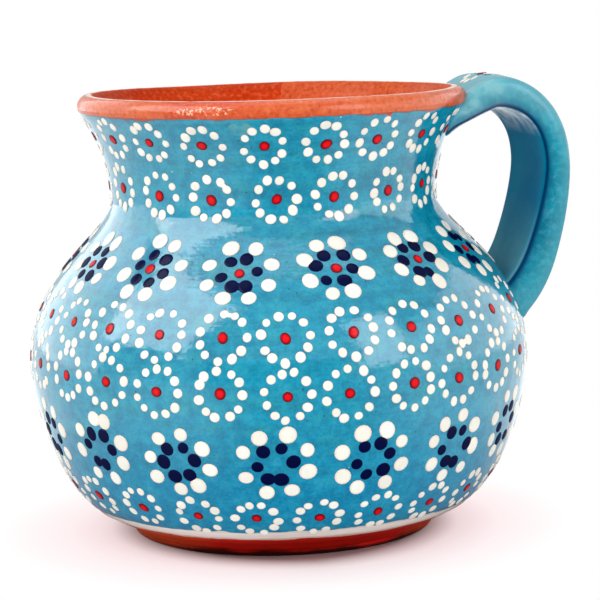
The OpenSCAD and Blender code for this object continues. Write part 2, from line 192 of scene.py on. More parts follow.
def begin(name):
    """Name the mesh that was just added, put its place in it and open all of it for editing."""
    piece = bpy.context.object
    piece.name = name
    bpy.ops.object.transform_apply(location=True, rotation=True, scale=True)
    bpy.ops.object.mode_set(mode="EDIT")
    bpy.ops.mesh.select_all(action="SELECT")
    return piece


def select_points(piece, wanted):
    """In edit mode, select the vertices for which wanted(vertex) is true."""
    drawn = bmesh.from_edit_mesh(piece.data)
    for point in drawn.verts:
        point.select = wanted(point)
    drawn.select_flush(True)
    drawn.select_flush(False)
    bmesh.update_edit_mesh(piece.data)


def close_shell():
    """In edit mode, merge doubled points, turn every face outwards and leave edit mode."""
    bpy.ops.mesh.select_all(action="SELECT")
    bpy.ops.mesh.remove_doubles(threshold=ALMOST_NOTHING)
    bpy.ops.mesh.normals_make_consistent(inside=False)
    bpy.ops.object.mode_set(mode="OBJECT")


def write_on(piece, name):
    """A new row of numbers, one for each vertex of a piece, that its finish can read."""
    return piece.data.attributes.new(name, "FLOAT", "POINT").data


def turned(name, line):
    """Draw a profile from point to point, spin it round the axis and close it."""
    deselect()
    bpy.ops.mesh.primitive_plane_add(size=MM, location=(line[0].x, 0, line[0].y))
    piece = begin(name)
    bpy.ops.mesh.merge(type="CENTER")
    for before, after in zip(line, line[1:]):
        step = after - before
        bpy.ops.mesh.extrude_vertices_move(TRANSFORM_OT_translate={"value": (step.x, 0, step.y)})
    bpy.ops.mesh.select_all(action="SELECT")
    bpy.ops.mesh.remove_doubles(threshold=ALMOST_NOTHING)
    bpy.ops.mesh.spin(steps=TURN_STEPS, angle=FULL_TURN, center=(0, 0, 0), axis=(0, 0, 1))
    close_shell()
    return piece


THROWN = "Thrown_by_hand"
ABOVE_FOOT = "above_foot"
WOBBLE_FADE = 14 * MM
WOBBLE_SIZE = 38 * MM


def throw_by_hand(piece):
    """Push a piece slightly out of true, all pieces by the same field, and none at the foot."""
    texture = bpy.data.textures.get(THROWN)
    if texture is None:
        texture = bpy.data.textures.new(THROWN, "CLOUDS")
        texture.cloud_type = "COLOR"
        texture.noise_scale = WOBBLE_SIZE
        texture.noise_depth = 0
    group = piece.vertex_groups.new(name=ABOVE_FOOT)
    for point in piece.data.vertices:
        level = ramp(point.co.z, 0, WOBBLE_FADE)
        group.add([point.index], level * level, "REPLACE")
    wobble = piece.modifiers.new(THROWN, "DISPLACE")
    wobble.texture = texture
    wobble.texture_coords = "LOCAL"
    wobble.direction = "RGB_TO_XYZ"
    wobble.mid_level = 0.5
    wobble.strength = bpy.context.scene.jarrito_sizes.hand_wobble
    wobble.vertex_group = ABOVE_FOOT
    pick(piece)
    bpy.ops.object.modifier_apply(modifier=THROWN)
    piece.vertex_groups.clear()


def hand_in(piece, slot, material, *nodes, sharp=None):
    """Throw a piece, shade it smooth but for its sharp edges, dress it, let it ride on the mug and
    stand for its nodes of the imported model."""
    throw_by_hand(piece)
    if sharp is not None:
        pick(piece)
        bpy.ops.object.shade_smooth_by_angle(angle=math.radians(sharp))
    piece.data.materials.clear()
    piece.data.materials.append(material)
    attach(piece, BODY)
    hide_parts(*nodes)


# The outline of the pot and of the strap

def heading(turn):
    """A step of 1 at an angle from level."""
    return Vector((math.cos(turn), math.sin(turn)))


def bow(start, leave, end, arrive, steps):
    """Points of a cubic curve that leaves and arrives along two pulls, without its first point."""
    pull_a, pull_b = start + leave, end - arrive
    points = []
    for i in range(1, steps + 1):
        t = i / steps
        s = 1 - t
        points.append(s ** 3 * start + 3 * s * s * t * pull_a + 3 * s * t * t * pull_b + t ** 3 * end)
    return points


def arc(centre, radius, start, end, steps):
    """Points of an arc, with both ends."""
    return [centre + radius * heading(start + (end - start) * i / steps) for i in range(steps + 1)]


def along(line, i):
    """Direction of a line of points at its point i."""
    return (line[min(i + 1, len(line) - 1)] - line[max(i - 1, 0)]).normalized()


def runs(line):
    """How far along a line each of its points lies."""
    run = [0]
    for before, after in zip(line, line[1:]):
        run.append(run[-1] + (after - before).length)
    return run


def shifted(line, amounts):
    """A line of points moved out of the clay by an amount at each point."""
    moved = []
    for i, point in enumerate(line):
        way = along(line, i)
        moved.append(point + amounts[i] * Vector((way.y, -way.x)))
    return moved


def ramp(value, low, high):
    """0 up to a low value, 1 from a high one, and evenly between them."""
    return min(1, max(0, (value - low) / (high - low)))


def lookup(value, pairs):
    """The second number of a list of pairs, read between them by the first."""
    if value <= pairs[0][0]:
        return pairs[0][1]
    for (low, at_low), (high, at_high) in zip(pairs, pairs[1:]):
        if value <= high:
            return at_low + (at_high - at_low) * (value - low) / (high - low)
    return pairs[-1][1]


UP = Vector((0, 1))
OUT = Vector((1, 0))

# Pulls of the outline's curves, as shares of each stretch's height
LOWER_PULLS = (0.46, 0.12)
UPPER_PULLS = (0.56, 0.22)
FLARE_PULLS = (0.46, 0.22)
FLOOR_PULLS = (0.45, 0.4)
LOWER_STEPS = 22
UPPER_STEPS = 24
FLARE_STEPS = 12
LIP_STEPS = 28
FOOT_EDGE_STEPS = 6
TURN_STEPS = 168

# How far the foot leans out towards its top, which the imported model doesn't have
FOOT_FLARE = 2.2 * MM

# Share of a slip coat's thickness that is left at its edges
THIN_EDGE = 0.25


class Pot:
    """The pot's outline, as points of (distance from the axis, height), and its skins."""

    def __init__(self, sizes):
        self.sizes = sizes
        foot = Vector((sizes.foot_width / 2 + FOOT_FLARE, sizes.foot_height))
        belly = Vector((sizes.belly_width / 2, sizes.belly_height))
        neck = Vector((sizes.neck_width / 2, sizes.neck_height))
        lip_r = sizes.lip_thickness / 2
        lip = Vector((sizes.rim_width / 2 - lip_r, sizes.vessel_height - lip_r))
        lean = sizes.flare
        flare_end = lip + lip_r * heading(-lean)
        stretches = (
            (foot, heading(sizes.spring), belly, UP, belly.y - foot.y, LOWER_PULLS, LOWER_STEPS),
            (belly, UP, neck, UP, neck.y - belly.y, UPPER_PULLS, UPPER_STEPS),
            (neck, UP, flare_end, heading(lean).yx, flare_end.y - neck.y, FLARE_PULLS, FLARE_STEPS),
        )
        self.outside = [foot]
        for start, out, end, into, rise, pulls, steps in stretches:
            self.outside += bow(start, pulls[0] * rise * out, end, pulls[1] * rise * into, steps)
        self.lip_line = arc(lip, lip_r, -lean, math.pi - lean, LIP_STEPS)
        wall = [(belly.y, sizes.wall), (flare_end.y, sizes.lip_thickness)]
        inner = shifted(self.outside, [-lookup(point.y, wall) for point in self.outside])
        self.inside = [point for point in inner if point.y < flare_end.y]
        spring_in = self.inside[0]
        middle = Vector((0, sizes.recess + sizes.floor_thickness))
        self.floor = [middle] + bow(
            middle, FLOOR_PULLS[0] * spring_in.x * OUT,
            spring_in, FLOOR_PULLS[1] * spring_in.x * along(self.outside, 0), LOWER_STEPS,
        )
        top = [point for point in self.lip_line if point.x > lip.x]
        self.side = [(point.y, point.x) for point in self.outside + top[1:]]
        blue = self.stretch(sizes.cream_top, sizes.blue_top)
        self.blue_skin = [(point.y, point.x) for point in shifted(blue, [sizes.slip] * len(blue))]

    def clay_r(self, height):
        """Radius of the clay at a height."""
        return lookup(height, self.side)

    def skin_r(self, height):
        """Radius of the slip, or of the clay above it, at a height."""
        return self.clay_r(height) if height > self.sizes.blue_top else lookup(height, self.blue_skin)

    def slope(self, height, reach):
        """Change of the skin's radius for one step up."""
        return (self.skin_r(height + reach) - self.skin_r(height - reach)) / (2 * reach)

    def stretch(self, low, high):
        """The outline between two heights, with its ends cut level."""
        ends = [Vector((self.clay_r(low), low)), Vector((self.clay_r(high), high))]
        return [ends[0]] + [point for point in self.outside if low < point.y < high] + [ends[1]]

    def clay_profile(self):
        """The whole section of the vessel, from under its foot to the middle of its floor."""
        sizes = self.sizes
        foot_r = sizes.foot_width / 2
        ring_r = foot_r - sizes.foot_ring
        under = [Vector((0, sizes.recess)), Vector((ring_r - sizes.recess, sizes.recess))]
        under.append(Vector((ring_r, 0)))
        centre = Vector((foot_r - sizes.foot_round, sizes.foot_round))
        edge = arc(centre, sizes.foot_round, -math.pi / 2, 0, FOOT_EDGE_STEPS)
        inner = self.floor[:-1] + self.inside
        return under + edge + self.outside + self.lip_line[1:-1] + inner[::-1]

    def coat_profile(self, low, high, taper):
        """The closed section of a slip coat between two heights, thinner within a taper of both."""
        line = self.stretch(low, high)
        run = runs(line)
        amounts = []
        for way in run:
            full = math.sin(ramp(min(way, run[-1] - way), 0, taper) * math.pi / 2)
            amounts.append(self.sizes.slip * (THIN_EDGE + (1 - THIN_EDGE) * full))
        return line + shifted(line, amounts)[::-1] + [line[0]]

    def lining_profile(self):
        """The closed section of the clear glaze, from the blue slip's edge to the middle of the floor."""
        sizes = self.sizes
        base = [Vector((self.clay_r(sizes.blue_top), sizes.blue_top))]
        base += [point for point in self.outside if point.y > sizes.blue_top]
        base += self.lip_line[1:-1]
        base += self.inside[::-1] + self.floor[:-1][::-1]
        skin = shifted(base, [sizes.glaze] * len(base))
        skin[-1] = Vector((0, skin[-1].y))
        return base[::-1] + skin


# Leads of the strap out of the vessel, in degrees, and pulls of its two lines
OUTER_LEADS = (30, 27)
INNER_LEADS = (60, 31)
OUTER_PULLS = (0.3, 0.3, 0.51, 0.62, 0.37, 0.23)
INNER_PULLS = (0.4, 0.24, 0.42, 0.75, 0.2, 0.32)
CROWN_STEPS = 6
BEND_STEPS = 9
FALL_STEPS = 13

# Stations over which the strap spreads at a joint, and how high its faces crown, as a share of its depth
ROOT_STATIONS = 5
STRAP_CROWNING = 0.1


def strap_line(top, crown, side, low, leads, pulls):
    """One line of the strap's side view, from the lip over the crown and down to the belly."""
    rise, fall = (math.radians(lead) for lead in leads)
    over, out, drop = crown.x - top.x, side.x - crown.x, side.y - crown.y
    down = low.y - side.y
    line = [top] + bow(top, pulls[0] * over * heading(rise), crown, pulls[1] * over * OUT, CROWN_STEPS)
    line += bow(crown, pulls[2] * out * OUT, side, pulls[3] * drop * UP, BEND_STEPS)
    return line + bow(side, pulls[4] * down * UP, low, pulls[5] * down * heading(fall).yx, FALL_STEPS)


class Strap:
    """The strap handle's stations, as points of (distance from the axis, height)."""

    def __init__(self, sizes, pot):
        self.sizes = sizes
        crown = Vector((sizes.rim_width / 2 + sizes.crown_out, sizes.vessel_height + sizes.crown_rise))
        side = Vector((sizes.belly_width / 2 + sizes.side_out, sizes.side_height))
        top_high = sizes.top_joint
        top_low = top_high - sizes.top_joint_reach
        low_low = sizes.low_joint - sizes.low_joint_reach / 2
        low_high = sizes.low_joint + sizes.low_joint_reach / 2
        self.outer = strap_line(
            Vector((pot.clay_r(top_high), top_high)), crown, side, Vector((pot.clay_r(low_low), low_low)),
            OUTER_LEADS, OUTER_PULLS,
        )
        self.inner = strap_line(
            Vector((pot.clay_r(top_low), top_low)), crown - sizes.crown_thickness * UP,
            side - sizes.side_thickness * OUT, Vector((pot.clay_r(low_high), low_high)),
            INNER_LEADS, INNER_PULLS,
        )
        self.middle = [(a + b) / 2 for a, b in zip(self.outer, self.inner)]
        self.last = len(self.middle) - 1

    def rooted(self, i):
        """How close station i is to a joint: 1 on the vessel, 0 a few stations away."""
        return max(0, 1 - min(i, self.last - i) / ROOT_STATIONS) ** 2

    def half_width(self, i):
        """Half the strap's width at station i."""
        sizes = self.sizes
        width = sizes.strap_top + (sizes.strap_low - sizes.strap_top) * i / self.last
        return width / 2 + sizes.joint_spread * self.rooted(i)

    def half_thickness(self, i):
        """Half the strap's thickness at station i, square to its way."""
        way = along(self.middle, i)
        return abs((self.outer[i] - self.inner[i]).dot(Vector((-way.y, way.x)))) / 2


# Finishes

GLAZE_IOR = 1.5
# Cloudy noise runs from 0 to 1, but nearly all of it lies between these
NOISE = (0.3, 0.7)
# Grains to the metre of a line that wavers, how softly it ends, and where a spot's edge fades
WAVERS = 150.0
SOFT_EDGE = 0.06 * MM
SPOT_EDGE = (1.12, 0.88)
# Patches that keep their specks, as a share of the specks to the metre
SPECK_PATCHES = 0.21


def scaled(rgb, level):
    """A colour made darker or lighter by a plain factor."""
    return [min(1, part * level) for part in rgb]


class Nodes:
    """The nodes of a material or of the world, from none."""

    def __init__(self, owner):
        owner.use_nodes = True
        self.tree = owner.node_tree
        self.tree.nodes.clear()

    def node(self, kind, inputs=None, **settings):
        """Add a node, set it, give its sockets a value or a link, and return its outputs."""
        made = self.tree.nodes.new(f"ShaderNode{kind}")
        for name, value in settings.items():
            setattr(made, name, value)
        for name, value in (inputs or {}).items():
            if isinstance(value, bpy.types.NodeSocket):
                self.tree.links.new(value, made.inputs[name])
            else:
                made.inputs[name].default_value = value
        return made.outputs

    def maths(self, operation, *values):
        """A plain operation on numbers."""
        return self.node("Math", dict(enumerate(values)), operation=operation)["Value"]

    def product(self, first, second):
        """One number times another."""
        return self.maths("MULTIPLY", first, second)

    def ranged(self, value, low, high, to_low=0.0, to_high=1.0):
        """A value brought from one range to another and kept inside it."""
        inputs = {"Value": value, "From Min": low, "From Max": high, "To Min": to_low, "To Max": to_high}
        return self.node("MapRange", inputs, clamp=True)["Result"]


class Finish(Nodes):
    """A finish on a piece's own coordinates: colour is laid over colour, and relief over relief."""

    def __init__(self, name):
        self.material = bpy.data.materials.new(name)
        super().__init__(self.material)
        self.place = self.node("TexCoord")["Object"]
        self.base = None
        self.normal = None

    def vectors(self, operation, *values):
        """A plain operation on places."""
        return self.node("VectorMath", dict(enumerate(values)), operation=operation)

    def axis(self, name, place=None):
        """One coordinate of a place, which is each point of the piece where none is given."""
        return self.node("SeparateXYZ", {"Vector": self.place if place is None else place})[name]

    def written(self, name):
        """The number that was written on each vertex of a piece."""
        return self.node("Attribute", attribute_name=name)["Fac"]

    def grain(self, per_metre, stretch=(1, 1, 1), detail=2.0):
        """Cloudy noise, from 0 to 1, with so many grains to the metre."""
        laid = self.node("Mapping", {"Vector": self.place, "Scale": stretch})["Vector"]
        return self.node("TexNoise", {"Vector": laid, "Scale": per_metre, "Detail": detail})["Fac"]

    def specks(self, per_metre, size, rarity):
        """Small round specks, 1 inside and 0 between, of which only a few are kept."""
        cells = self.node("TexVoronoi", {"Vector": self.place, "Scale": per_metre})["Distance"]
        kept = self.ranged(self.grain(per_metre * SPECK_PATCHES), rarity, rarity + 0.02)
        return self.product(self.ranged(cells, size, size / 2), kept)

    def wavering(self, value, edge, reach):
        """1 above an edge and 0 below it, along a line that wavers as a hand draws it."""
        waver = self.ranged(self.grain(WAVERS, detail=3.0), *NOISE, -reach, reach)
        return self.ranged(self.maths("ADD", value, waver), edge - SOFT_EDGE, edge + SOFT_EDGE)

    def spot(self, at, size):
        """1 inside an egg-shaped spot at a place and 0 outside it."""
        laid = self.vectors("SUBTRACT", self.place, at)["Vector"]
        laid = self.vectors("DIVIDE", laid, size)["Vector"]
        return self.ranged(self.vectors("LENGTH", laid)["Value"], *SPOT_EDGE)

    def paint(self, given):
        """A colour as a socket takes it: a link, six hexadecimal digits or three numbers."""
        if isinstance(given, bpy.types.NodeSocket):
            return given
        red, green, blue = tone(given) if isinstance(given, str) else given
        return (red, green, blue, 1)

    def blend(self, share, under, over):
        """One colour laid over another by a share."""
        inputs = {"Fac": share, "Color1": self.paint(under), "Color2": self.paint(over)}
        return self.node("MixRGB", inputs)["Color"]

    def start(self, value, low, high, rgb, darkest, lightest):
        """Begin with a colour that is darker where a value is low and lighter where it is high."""
        self.base = self.blend(self.ranged(value, low, high), scaled(rgb, darkest), scaled(rgb, lightest))

    def lay(self, share, over):
        """Lay a colour over all that is there by a share."""
        self.base = self.blend(share, self.base, over)

    def wash(self, value, bare, full, most, over):
        """Lay a colour where a value goes from bare to full, by at most a share."""
        self.lay(self.ranged(value, bare, full, 0.0, most), over)

    def raised(self, height, depth):
        """Raise the surface by a height, so many metres from 0 to 1."""
        inputs = {"Height": height, "Distance": depth, "Strength": 1.0}
        if self.normal is not None:
            inputs["Normal"] = self.normal
        self.normal = self.node("Bump", inputs)["Normal"]

    def glazed(self, clouds, smoothest, roughest, coat, coat_roughness, gleam=0.0):
        """End as slip or clay under a clear glaze: the material, whose roughness goes with its clouds."""
        shader = self.node("BsdfPrincipled", {
            "Base Color": self.base,
            "Normal": self.normal,
            "Roughness": self.ranged(clouds, *NOISE, smoothest, roughest),
            "Specular IOR Level": gleam,
            "Coat Weight": coat,
            "Coat Roughness": coat_roughness,
            "Coat IOR": GLAZE_IOR,
            "Coat Normal": self.normal,
        })
        return self.shown(shader["BSDF"])

    def shown(self, shader):
        """Join a shader to the output, and give the material."""
        self.node("OutputMaterial", {"Surface": shader})
        return self.material


# Spots, each as its place and its half lengths: the bare clay under the lip, the greener patch beside
# it, the painted glints on the lip, and the painted highlight on the strap's upper joint
CLAY_SPOT = ((17.0 * MM, -35.5 * MM, 88.8 * MM), (0.75 * MM, 1.6 * MM, 1.0 * MM))
GREEN_PATCH = ((-12.6 * MM, -36.4 * MM, 86.8 * MM), (2.6 * MM, 3.0 * MM, 1.4 * MM))
LIP_GLINTS = ((-20 * MM, -36 * MM, 90.3 * MM), (6.5 * MM, 6 * MM, 0.9 * MM))
JOINT_HIGHLIGHT = ((41 * MM, -15 * MM, 90 * MM), (6 * MM, 5 * MM, 4.5 * MM))


def brushed_slip_finish(colours, sizes):
    """Slip laid on with a broad brush: streaks, cloudiness, specks and wavering edges."""
    finish = Finish("Blue_slip")
    streaks = finish.grain(1.0, (22, 22, 560), 4.0)
    fine_streaks = finish.grain(2.6, (22, 22, 560), 3.0)
    clouds = finish.grain(60.0, detail=4.0)
    mottle = finish.grain(420.0, detail=6.0)
    fine = finish.grain(1700.0, detail=3.0)
    height = finish.axis("Z")
    finish.start(streaks, 0.3, 0.72, colours.blue, 0.72, 1.18)
    finish.wash(fine_streaks, 0.45, 0.72, 0.5, scaled(colours.blue, 1.34))
    finish.wash(clouds, 0.42, 0.72, 0.5, "047f9f")
    finish.wash(finish.grain(19.0), 0.38, 0.68, 0.45, "1a9cbc")
    finish.wash(finish.grain(1.0, (170, 170, 420), 3.0), 0.5, 0.72, 0.45, "2f9f9e")
    finish.wash(height, 34 * MM, 14 * MM, 0.6, "0084b6")
    finish.wash(mottle, 0.5, 0.7, 0.5, "056a8e")
    finish.wash(mottle, 0.5, 0.3, 0.45, "32aabf")
    finish.wash(fine, 0.5, 0.68, 0.35, "05688c")
    finish.wash(fine, 0.5, 0.32, 0.25, "2aa6c8")
    finish.lay(finish.specks(560.0, 0.12, 0.56), "123f4c")
    finish.lay(finish.specks(330.0, 0.07, 0.58), "9fd0d6")
    patch = finish.product(finish.spot(*GREEN_PATCH), finish.ranged(mottle, 0.4, 0.6))
    finish.wash(patch, 0.0, 1.0, 0.6, "6cb4b0")
    finish.lay(finish.spot(*CLAY_SPOT), colours.glazed)
    finish.wash(finish.wavering(height, sizes.blue_top - 0.7 * MM, 0.4 * MM), 0.0, 1.0, 0.7, "7a3a20")
    finish.lay(finish.wavering(height, sizes.blue_top - 0.45 * MM, 0.4 * MM), colours.glazed)
    over_cream = finish.wavering(height, sizes.cream_top + 0.3 * MM, 0.35 * MM)
    finish.base = finish.blend(over_cream, colours.cream, finish.base)
    finish.raised(streaks, 0.05 * MM)
    finish.raised(fine_streaks, 0.02 * MM)
    finish.raised(finish.grain(130.0, detail=3.0), 0.1 * MM)
    finish.raised(mottle, 0.09 * MM)
    return finish.glazed(clouds, 0.4, 0.6, 0.9, 0.06)


def strap_finish(colours):
    """The same slip dabbed on the strap: mottled, greener, with its glaze thin on the inner face, painted
    light on its back, top and upper joint, painted shade towards its inner face and a painted reflection
    high on it.
    """
    finish = Finish("Blue_slip_strap")
    depth = finish.written("depth")
    mottle = finish.grain(230.0, detail=5.0)
    clouds = finish.grain(70.0, detail=3.0)
    streaks = finish.grain(1.0, (40, 600, 40), 4.0)
    grain_and_glints = finish.grain(900.0, detail=4.0)
    level = finish.axis("Z")
    finish.start(mottle, 0.34, 0.68, colours.teal, 0.74, 1.22)
    finish.wash(clouds, 0.4, 0.7, 0.55, "2397a6")
    finish.wash(streaks, 0.5, 0.75, 0.35, "06728e")
    finish.wash(grain_and_glints, 0.5, 0.7, 0.25, "6fb2bb")
    finish.wash(grain_and_glints, 0.5, 0.3, 0.4, "055f78")
    finish.lay(finish.specks(620.0, 0.13, 0.54), "0b4450")
    # Painted light: the strap lighter towards its back.
    finish.wash(depth, 0.2, -0.7, 0.4, "4da5b6")
    # Painted highlight: a pale patch on the strap's upper joint, where the light catches it.
    joint = finish.product(finish.ranged(mottle, 0.42, 0.6), finish.spot(*JOINT_HIGHLIGHT))
    finish.lay(joint, "74b3bb")
    # Painted light: the strap lighter towards its top.
    finish.wash(level, 80 * MM, 92 * MM, 0.4, "78bac6")
    # Painted shade: darker towards the inner face, darkest in a band along its inner edge.
    finish.wash(depth, 0.2, 0.8, 0.85, "035a80")
    finish.wash(depth, 0.58, 0.76, 0.9, "01305a")
    cloudy = finish.ranged(clouds, 0.35, 0.65)
    deep = finish.blend(cloudy, "047ca4", "088cac")
    thin = finish.blend(cloudy, "449ab0", "66acbe")
    inside = finish.blend(finish.ranged(level, 68 * MM, 58 * MM), deep, thin)
    # Painted reflection: pale streaks high on the inner face, under the crown.
    inner_reflection = finish.product(finish.ranged(level, 81 * MM, 86 * MM), finish.ranged(mottle, 0.35, 0.6))
    finish.lay(finish.ranged(depth, 0.84, 0.93), finish.blend(inner_reflection, inside, "f4f8fa"))
    finish.raised(mottle, 0.16 * MM)
    finish.raised(streaks, 0.05 * MM)
    finish.raised(finish.grain(45.0), 0.3 * MM)
    return finish.glazed(clouds, 0.45, 0.6, finish.written("glaze"), 0.24)


def glazed_clay_finish(rgb):
    """Terracotta under a clear glaze: throwing lines and darker grit, with painted light: a lighter right
    side, a painted sheen on the lip's outward side, painted glints and a painted highlight along the crest.
    """
    finish = Finish("Clear_glazed_terracotta")
    rings = finish.grain(1.0, (14, 14, 620), 3.0)
    clouds = finish.grain(70.0, detail=4.0)
    grit = finish.grain(1100.0, detail=5.0)
    outward = finish.written("outward")
    finish.start(rings, 0.3, 0.7, rgb, 0.78, 1.18)
    finish.wash(clouds, 0.4, 0.7, 0.5, "cf4c18")
    # Painted light: the glaze lighter towards its right side.
    finish.wash(finish.wavering(finish.axis("X"), 8 * MM, 4 * MM), 0.0, 1.0, 0.5, "e06a3c")
    # Painted sheen: the lip's outward side made paler.
    pale = finish.ranged(finish.grain(45.0, detail=4.0), 0.35, 0.65, 0.08, 0.45)
    finish.lay(finish.product(outward, pale), "ee8850")
    finish.lay(finish.specks(900.0, 0.14, 0.55), "8a2f12")
    finish.wash(grit, 0.52, 0.7, 0.35, "ea8a58")
    finish.wash(grit, 0.48, 0.3, 0.5, "962f08")
    # Painted highlight: small pale glints on the front of the lip.
    grain_and_glints = finish.ranged(finish.grain(1900.0), 0.54, 0.62, 0.0, 0.7)
    finish.lay(finish.product(finish.spot(*LIP_GLINTS), grain_and_glints), "ffd2aa")
    # Painted highlight: a broken pale line along the crest of the lip.
    broken_crest_highlight = finish.ranged(finish.grain(260.0, detail=4.0), 0.3, 0.55)
    finish.lay(finish.product(finish.written("crest"), broken_crest_highlight), "ffe4d4")
    finish.raised(rings, 0.12 * MM)
    finish.raised(grit, 0.07 * MM)
    return finish.glazed(clouds, 0.4, 0.55, finish.ranged(outward, 0.0, 1.0, 0.12, 0.6), 0.16)


def bare_clay_finish(rgb):
    """Bare terracotta of the foot: matt and gritty, with painted light that turns it orange to the sides and
    painted shade along its lower edge.
    """
    finish = Finish("Bare_terracotta")
    rings = finish.grain(1.0, (25, 25, 900), 3.0)
    clouds = finish.grain(130.0, detail=4.0)
    apart = finish.maths("ABSOLUTE", finish.axis("X"))
    waver = finish.ranged(finish.grain(90.0, detail=3.0), *NOISE, -0.6 * MM, 0.6 * MM)
    low = finish.ranged(finish.maths("ADD", finish.axis("Z"), waver), 1.8 * MM, 0.8 * MM, 0.0, 0.95)
    finish.start(rings, 0.3, 0.7, rgb, 0.8, 1.15)
    finish.wash(clouds, 0.42, 0.7, 0.5, scaled(rgb, 1.35))
    finish.lay(finish.specks(1300.0, 0.2, 0.5), scaled(rgb, 0.45))
    # Painted light: the foot lighter and more orange towards its ends to the left and right.
    finish.wash(apart, 18 * MM, 34 * MM, 0.85, "d8622a")
    # Painted shade: the lower edge of the foot darkened towards the table, most at the front and back, where
    # the belly hangs over it.
    finish.lay(finish.product(low, finish.ranged(apart, 31 * MM, 22 * MM, 0.3, 1.0)), "140202")
    finish.raised(rings, 0.08 * MM)
    finish.raised(finish.grain(2200.0), 0.05 * MM)
    return finish.glazed(clouds, 0.55, 0.75, 0.1, 0.3, 0.1)


def cream_finish(colours, sizes):
    """Cream slip under a clear glaze, thin enough for the clay to warm it at its lower edge."""
    finish = Finish("Cream_slip")
    streaks = finish.grain(1.0, (30, 30, 800), 3.0)
    clouds = finish.grain(110.0, detail=3.0)
    height = finish.axis("Z")
    finish.start(streaks, 0.35, 0.7, colours.cream, 0.92, 1.03)
    finish.wash(clouds, 0.5, 0.8, 0.5, "ecd2c2")
    finish.wash(finish.wavering(height, sizes.cream_low + 0.7 * MM, 0.3 * MM), 1.0, 0.0, 0.6, "e8b49a")
    full = finish.wavering(height, sizes.cream_low + 0.15 * MM, 0.3 * MM)
    finish.base = finish.blend(full, colours.clay, finish.base)
    finish.raised(streaks, 0.04 * MM)
    return finish.glazed(clouds, 0.35, 0.5, 1.0, 0.08)


# Slips of the dots: name, colour of a dot's edge (painted shade on the red dots), where the edge
# begins (as a share of the dot's radius), how much it shows, and how much glaze lies over the dot
DOT_SLIPS = {
    "white": ("White_slip", "f0c9ae", 0.7, 0.5, 0.4),
    "navy": ("Navy_slip", "04103a", 0.6, 0.6, 0.1),
    "red": ("Red_slip", "4a0408", 0.4, 1.0, 0.2),
}


def dot_finish(kind):
    """Slip of a dot, made once: a full middle and an edge of another colour, painted shade round the red
    dots, uneven from dot to dot.
    """
    name, edge, edge_from, edge_share, coat = DOT_SLIPS[kind]
    if name in bpy.data.materials:
        return bpy.data.materials[name]
    middle = getattr(bpy.context.scene.jarrito_colours, kind)
    finish = Finish(name)
    clouds = finish.grain(500.0, detail=3.0)
    finish.start(finish.written("lot"), 0.0, 1.0, middle, 0.9, 1.05)
    finish.wash(clouds, 0.45, 0.8, 0.35, scaled(middle, 0.8))
    # The edge's colour; round the red dots it is painted shade.
    finish.wash(finish.written("rim"), edge_from, 0.96, edge_share, edge)
    finish.raised(clouds, 0.03 * MM)
    return finish.glazed(clouds, 0.5, 0.65, coat, 0.1)


# Dots

DOT_SIDES = 14
# Widths and heights of a dot's steps, and how far its foot is sunk in the slip, for a dot of radius 1
DOT_STEPS = ((1.0, 0.12), (0.93, 0.58), (0.76, 0.88), (0.42, 1.0))
DOT_SUNK = -0.3
# Clear space left between a dot and the strap's joint
JOINT_GAP = 0.8 * MM


def model_dot():
    """One dot of slip, 1 in radius and height: a low dome raised from a disc."""
    deselect()
    bpy.ops.mesh.primitive_circle_add(vertices=DOT_SIDES, fill_type="NGON", location=(0, 0, DOT_SUNK))
    dot = begin("Slip_dot")
    width, height = 1.0, DOT_SUNK
    for next_width, next_height in DOT_STEPS:
        bpy.ops.mesh.extrude_region_move(TRANSFORM_OT_translate={"value": (0, 0, next_height - height)})
        ratio = next_width / width
        bpy.ops.transform.resize(value=(ratio, ratio, 1), center_override=(0, 0, next_height))
        width, height = next_width, next_height
    close_shell()
    bpy.ops.object.shade_smooth()
    rim = write_on(dot, "rim")
    for point in dot.data.vertices:
        rim[point.index].value = point.co.xy.length
    write_on(dot, "lot")
    return dot


